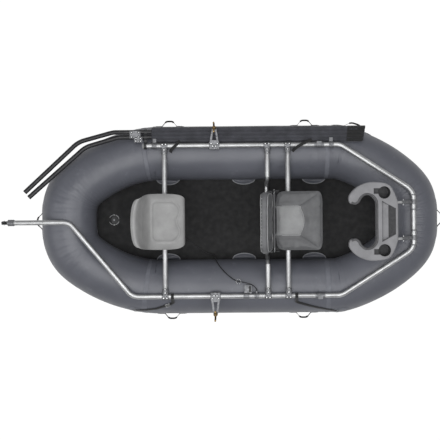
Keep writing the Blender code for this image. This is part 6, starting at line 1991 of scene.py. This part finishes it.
# %% Back of the front seat
BACK_SIZE = (0.400, 0.480, 0.062)
BACK_LEAN = math.radians(8)
LACE_LOOPS = 15
LACE_HALF = 0.185
PIVOT = Vector((0.284, 0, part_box("front_seat_cushion")[1].z + 0.004))
stand = Matrix.Translation(PIVOT) @ Matrix.Rotation(-math.pi / 2 - BACK_LEAN, 4, (0, 1, 0))
back_place = stand @ Matrix.Translation((0.250, 0, 0.035)) @ Matrix.Rotation(math.pi, 4, "X")
back_panel = [
    (-0.150, 0.125), (0.120, 0.125), (0.150, 0.110), (0.158, 0.0), (0.150, -0.110),
    (0.120, -0.125), (-0.150, -0.125),
]
back_seams = [back_panel + back_panel[:1]] + [[(x, -0.125), (x, 0.125)] for x in (0.060, -0.050)]
start = rounded_pad((0.384, 0.464, 0.046), 6, 0.012)
back = swollen(
    "front_seat_back_pad", start, 0.010, lambda p: segment_gap(p, back_seams), seat_vinyl,
)
points = fitted(back, BACK_SIZE)
points = groove(back, points, back_seams, 0.0032, 0.0045)
back.data.materials.append(panel_vinyl)
back_rim = soft_rim(0.186, 0.225, 6)
smooth_panel = smooth_flat(back_panel, 8, True)
details = [
    piping("front_seat_back_rim_fore", back, back_rim, 0.0024, piping_vinyl),
    piping("front_seat_back_rim_aft", back, back_rim, 0.0024, piping_vinyl, from_above=False),
    piping("front_seat_back_panel_piping", back, smooth_panel, 0.0018, seat_vinyl),
]
lace = []
for step in range(61):
    share = step / 60
    y = -0.205 + 0.410 * share
    lace.append((0.176 + 0.008 * math.cos(math.pi * 22 * share), y))
details.append(piping("front_seat_back_lacing", back, lace, 0.0015, webbing, from_above=False))

# %% [markdown]
# Light loops lace the cover shut along the back's top edge. Each loop is a short tube whose
# points are found by rays cast at the pad, so that it lies on the cover.

# %% Lacing loops
back_faces = surface(back)
for number in range(LACE_LOOPS):
    y = LACE_HALF * (2 * number / (LACE_LOOPS - 1) - 1)
    arc = []
    for turn in np.radians(np.arange(-85, -29, 5)):
        ray = Vector((math.cos(turn), 0, math.sin(turn)))
        middle = Vector((BACK_SIZE[0] / 2 - 0.030, y + 0.010 * math.sin(turn), 0))
        hit = back_faces.ray_cast(middle + ray * 0.2, -ray)[0]
        if hit is not None:
            arc.append(hit + ray * 0.0012)
    loop_line = smooth_route(arc, 2)
    details.append(
        tube(f"front_seat_back_lace_{number}", loop_line, 0.0022, piping_vinyl, sides=8, edge=0.0004)
    )
print("lacing loops:", LACE_LOOPS)

# %% [markdown]
# Two arms carry the back on its hinge pin, each a bevelled bar with a round hub. A vinyl sleeve
# covers the pin between them.

# %% Arms and hinge
ARM_OUTER_Y = 0.246
ARM_THICKNESS = 0.016
ARM_LENGTH = 0.165
ARM_DEPTH = 0.046
HUB_PROFILE = (
    (0.0070, 0), (0.0088, 0.0010), (0.0090, 0.0030), (0.0090, 0.0130), (0.0082, 0.0150),
    (0.0060, 0.0155),
)
for side, name in SIDES:
    inner, outer = side * (ARM_OUTER_Y - ARM_THICKNESS), side * (ARM_OUTER_Y - GAP)
    box = [(0.0, inner), (ARM_LENGTH, inner), (ARM_LENGTH, outer), (0.0, outer)]
    arm = frustum(
        "front_seat_back_arm_" + name, [(x, y, 0.0) for x, y in box],
        [(x, y, ARM_DEPTH) for x, y in box],
    )
    arm.data.materials.append(dark_plastic)
    arm.data.transform(stand)
    arm.data.update()
    eased(arm, 0.003, 3)
    riding(arm, BODY_OF["front_seat_back"])
    hub_foot = PIVOT + Vector((0, inner, 0))
    hub = turned(
        "front_seat_back_hub_" + name, hub_foot, (0, side, 0), HUB_PROFILE, fitting_metal, sides=32,
    )
    riding(hub, BODY_OF["front_seat_back"])
hinge_line = [PIVOT + Vector((0, y, 0)) for y in np.linspace(-0.224, 0.224, 15)]
hinge_sleeve = tube(
    "front_seat_hinge_sleeve", hinge_line, 0.0082, seat_vinyl, sides=24, edge=0.003,
)
riding(hinge_sleeve)
for piece in (back, *details):
    piece.data.transform(back_place)
    piece.data.shade_smooth()
    if piece is not back:
        riding(piece, BODY_OF["front_seat_back"])
showing(back, "front_seat_back")

print("details on the back:", len(details))

# %% [markdown]
# Clamps, oarlocks, tees and the other fittings are shown as the CAD model has them. Each is a
# merged copy of its node, its crisp edges eased by a little under a millimetre.

# %% Fittings
shown = {name for piece in bpy.data.objects for name in piece.get("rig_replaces", [])}
print("nodes shown as in the CAD model:", len(set(NODES) - shown))
for node in sorted(set(NODES) - shown):
    piece = eased(merged_copy(node), 0.0009, 3)
    if node.startswith("brace_post"):
        piece.data.materials[0] = post_metal
    showing(piece, node)

# %% [markdown]
# Socket screws with nylon washers hold the tees and the oarlock holders. Each is a spun profile
# set down on the fitting's top, on the tees two over the rail and two over the crossbar.

# %% Screws
SCREW = (
    (0.0062, 0), (0.0066, 0.0010), (0.0066, 0.0030), (0.0056, 0.0042), (0.0036, 0.0044),
    (0.0034, 0.0016), (0.0005, 0.0016),
)
WASHER = ((0.0105, 0), (0.0108, 0.0006), (0.0104, 0.0014), (0.0066, 0.0016), (0.0060, 0.0012))
UPRIGHT = (0, 0, 1)


for bar_name, x in (("rower", -0.619), ("foot", FOOT_X), ("seat", 0.404)):
    for side, name in SIDES:
        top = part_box(f"tee_{bar_name}_{name}")[1].z
        for number, (off_x, y, z) in enumerate((
            (-0.014, RAIL_Y + 0.010, top - 0.0060), (0.014, RAIL_Y + 0.010, top - 0.0060),
            (0, 0.592, RAIL_Z + 0.0262), (0, 0.566, RAIL_Z + 0.0262),
        )):
            spot = (x + off_x, side * y, z)
            label = f"{bar_name}_{name}_{number}"
            washer = turned("tee_washer_" + label, spot, UPRIGHT, WASHER, nylon, 24)
            riding(washer)
            riding(turned("tee_screw_" + label, spot, UPRIGHT, SCREW, stainless, 24))


def top_at(node, x, y):
    """The height of a CAD node's upper face at one spot."""
    copy = merged_copy(node)
    hit = surface(copy).ray_cast(Vector((x, y, 2)), Vector((0, 0, -1)))[0]
    bpy.data.objects.remove(copy)
    return hit.z if hit is not None else RAIL_Z


HOLDER_SCREWS = ((-0.026, 0.016), (0.026, 0.016), (-0.012, -0.006), (0.012, -0.006))
for side, name in SIDES:
    node = "oarlock_holder_" + name
    middle_x = node_x(node)
    for number, (off_x, off_y) in enumerate(HOLDER_SCREWS):
        x, y = middle_x + off_x, side * (RAIL_Y + off_y)
        spot = (x, y, top_at(node, x, y) - 0.0006)
        riding(turned(f"{node}_washer_{number}", spot, UPRIGHT, WASHER, nylon, 24))
        riding(turned(f"{node}_screw_{number}", spot, UPRIGHT, SCREW, stainless, 24))

# %% [markdown]
# The rod clamp has two bolted top plates, between the rod tubes and the port rail. Each is a
# bevelled plate with four bolts, and the smaller one lies on the larger.

# %% Rod clamp's plates
PLATE_TOP = ROD_Z + ROD_RADIUS + GAP
PLATE_THICKNESS = 0.005
PLATE_BOLT = (
    (0.0058, 0), (0.0062, 0.0008), (0.0062, 0.0030), (0.0050, 0.0042), (0.0026, 0.0044),
    (0.0024, 0.0020), (0.0005, 0.0020),
)
for number, (low_x, high_x, low_y, high_y) in enumerate((
    (-0.905, -0.815, 0.690, 0.752), (-0.868, -0.800, 0.655, 0.700),
)):
    corners = [(low_x, low_y), (high_x, low_y), (high_x, high_y), (low_x, high_y)]
    foot_z = PLATE_TOP + 0.0008 + 0.0052 * number
    plate = frustum(
        f"rod_clamp_plate_{number}", [(x, y, foot_z) for x, y in corners],
        [(x, y, foot_z + PLATE_THICKNESS) for x, y in corners],
    )
    plate.data.materials.append(fitting_metal)
    riding(eased(plate, 0.0015, 3))
    for x in (low_x + 0.016, high_x - 0.016):
        for y in (low_y + 0.012, high_y - 0.012):
            label = f"{number}_{x:.3f}_{y:.3f}"
            top, seat_z = foot_z + PLATE_THICKNESS, foot_z + 0.0045
            bolt = turned("rod_clamp_bolt_" + label, (x, y, top), UPRIGHT, PLATE_BOLT, stainless, 24)
            riding(bolt)
            washer = turned("rod_clamp_washer_" + label, (x, y, seat_z), UPRIGHT, WASHER, nylon, 24)
            riding(washer)

# %% [markdown]
# Two port straps lie over the rail and end against the sleeve, and a steel ring hangs on the
# anchor rope beside its cleat. A strap is swept down a smooth line through seven places, which
# share their heights and distances from the middle.

# %% Port straps and rope ring
PORT_STRAP_YZ = (
    (0.572, 0.4610), (0.590, 0.4900), (0.606, 0.5045), (0.624, 0.5085), (0.640, 0.5040),
    (0.656, 0.4900), (0.668, 0.4800),
)
PORT_STRAPS = {
    "strap_port_bow": (0.446, 0.462, 0.484, 0.512, 0.545, 0.580, 0.606),
    "strap_port_stern": (-0.570, -0.560, -0.545, -0.525, -0.510, -0.500, -0.494),
}
for name, along in PORT_STRAPS.items():
    route = smooth_route([(x, y, z) for x, (y, z) in zip(along, PORT_STRAP_YZ)], 6)
    framed = []
    for number, point in enumerate(route):
        run = (route[min(number + 1, len(route) - 1)] - route[max(number - 1, 0)]).normalized()
        wide = Vector((0, 0, 1)).cross(run).normalized()
        framed.append((point, run.cross(wide).normalized(), wide))
    riding(strip(name + "_webbing", framed, STRAP_WIDTH, 0.0024, webbing))
    for offset in STRAP_STITCH_OFFSETS:
        label = f"{name}_stitches_{int(offset * 1e4) + 95}"
        riding(stitches(label, framed[4:-4], offset, 0.0012))

RING_LEAN = (0.2, 0.3, 1)
ring_centre = Vector((-0.012, -0.505, RAIL_Z + 0.006))
ring_line = circle(ring_centre, RING_LEAN, 0.020, 40)
riding(loop("rope_grab_ring", ring_line, RING_LEAN, 0.0028, stainless))
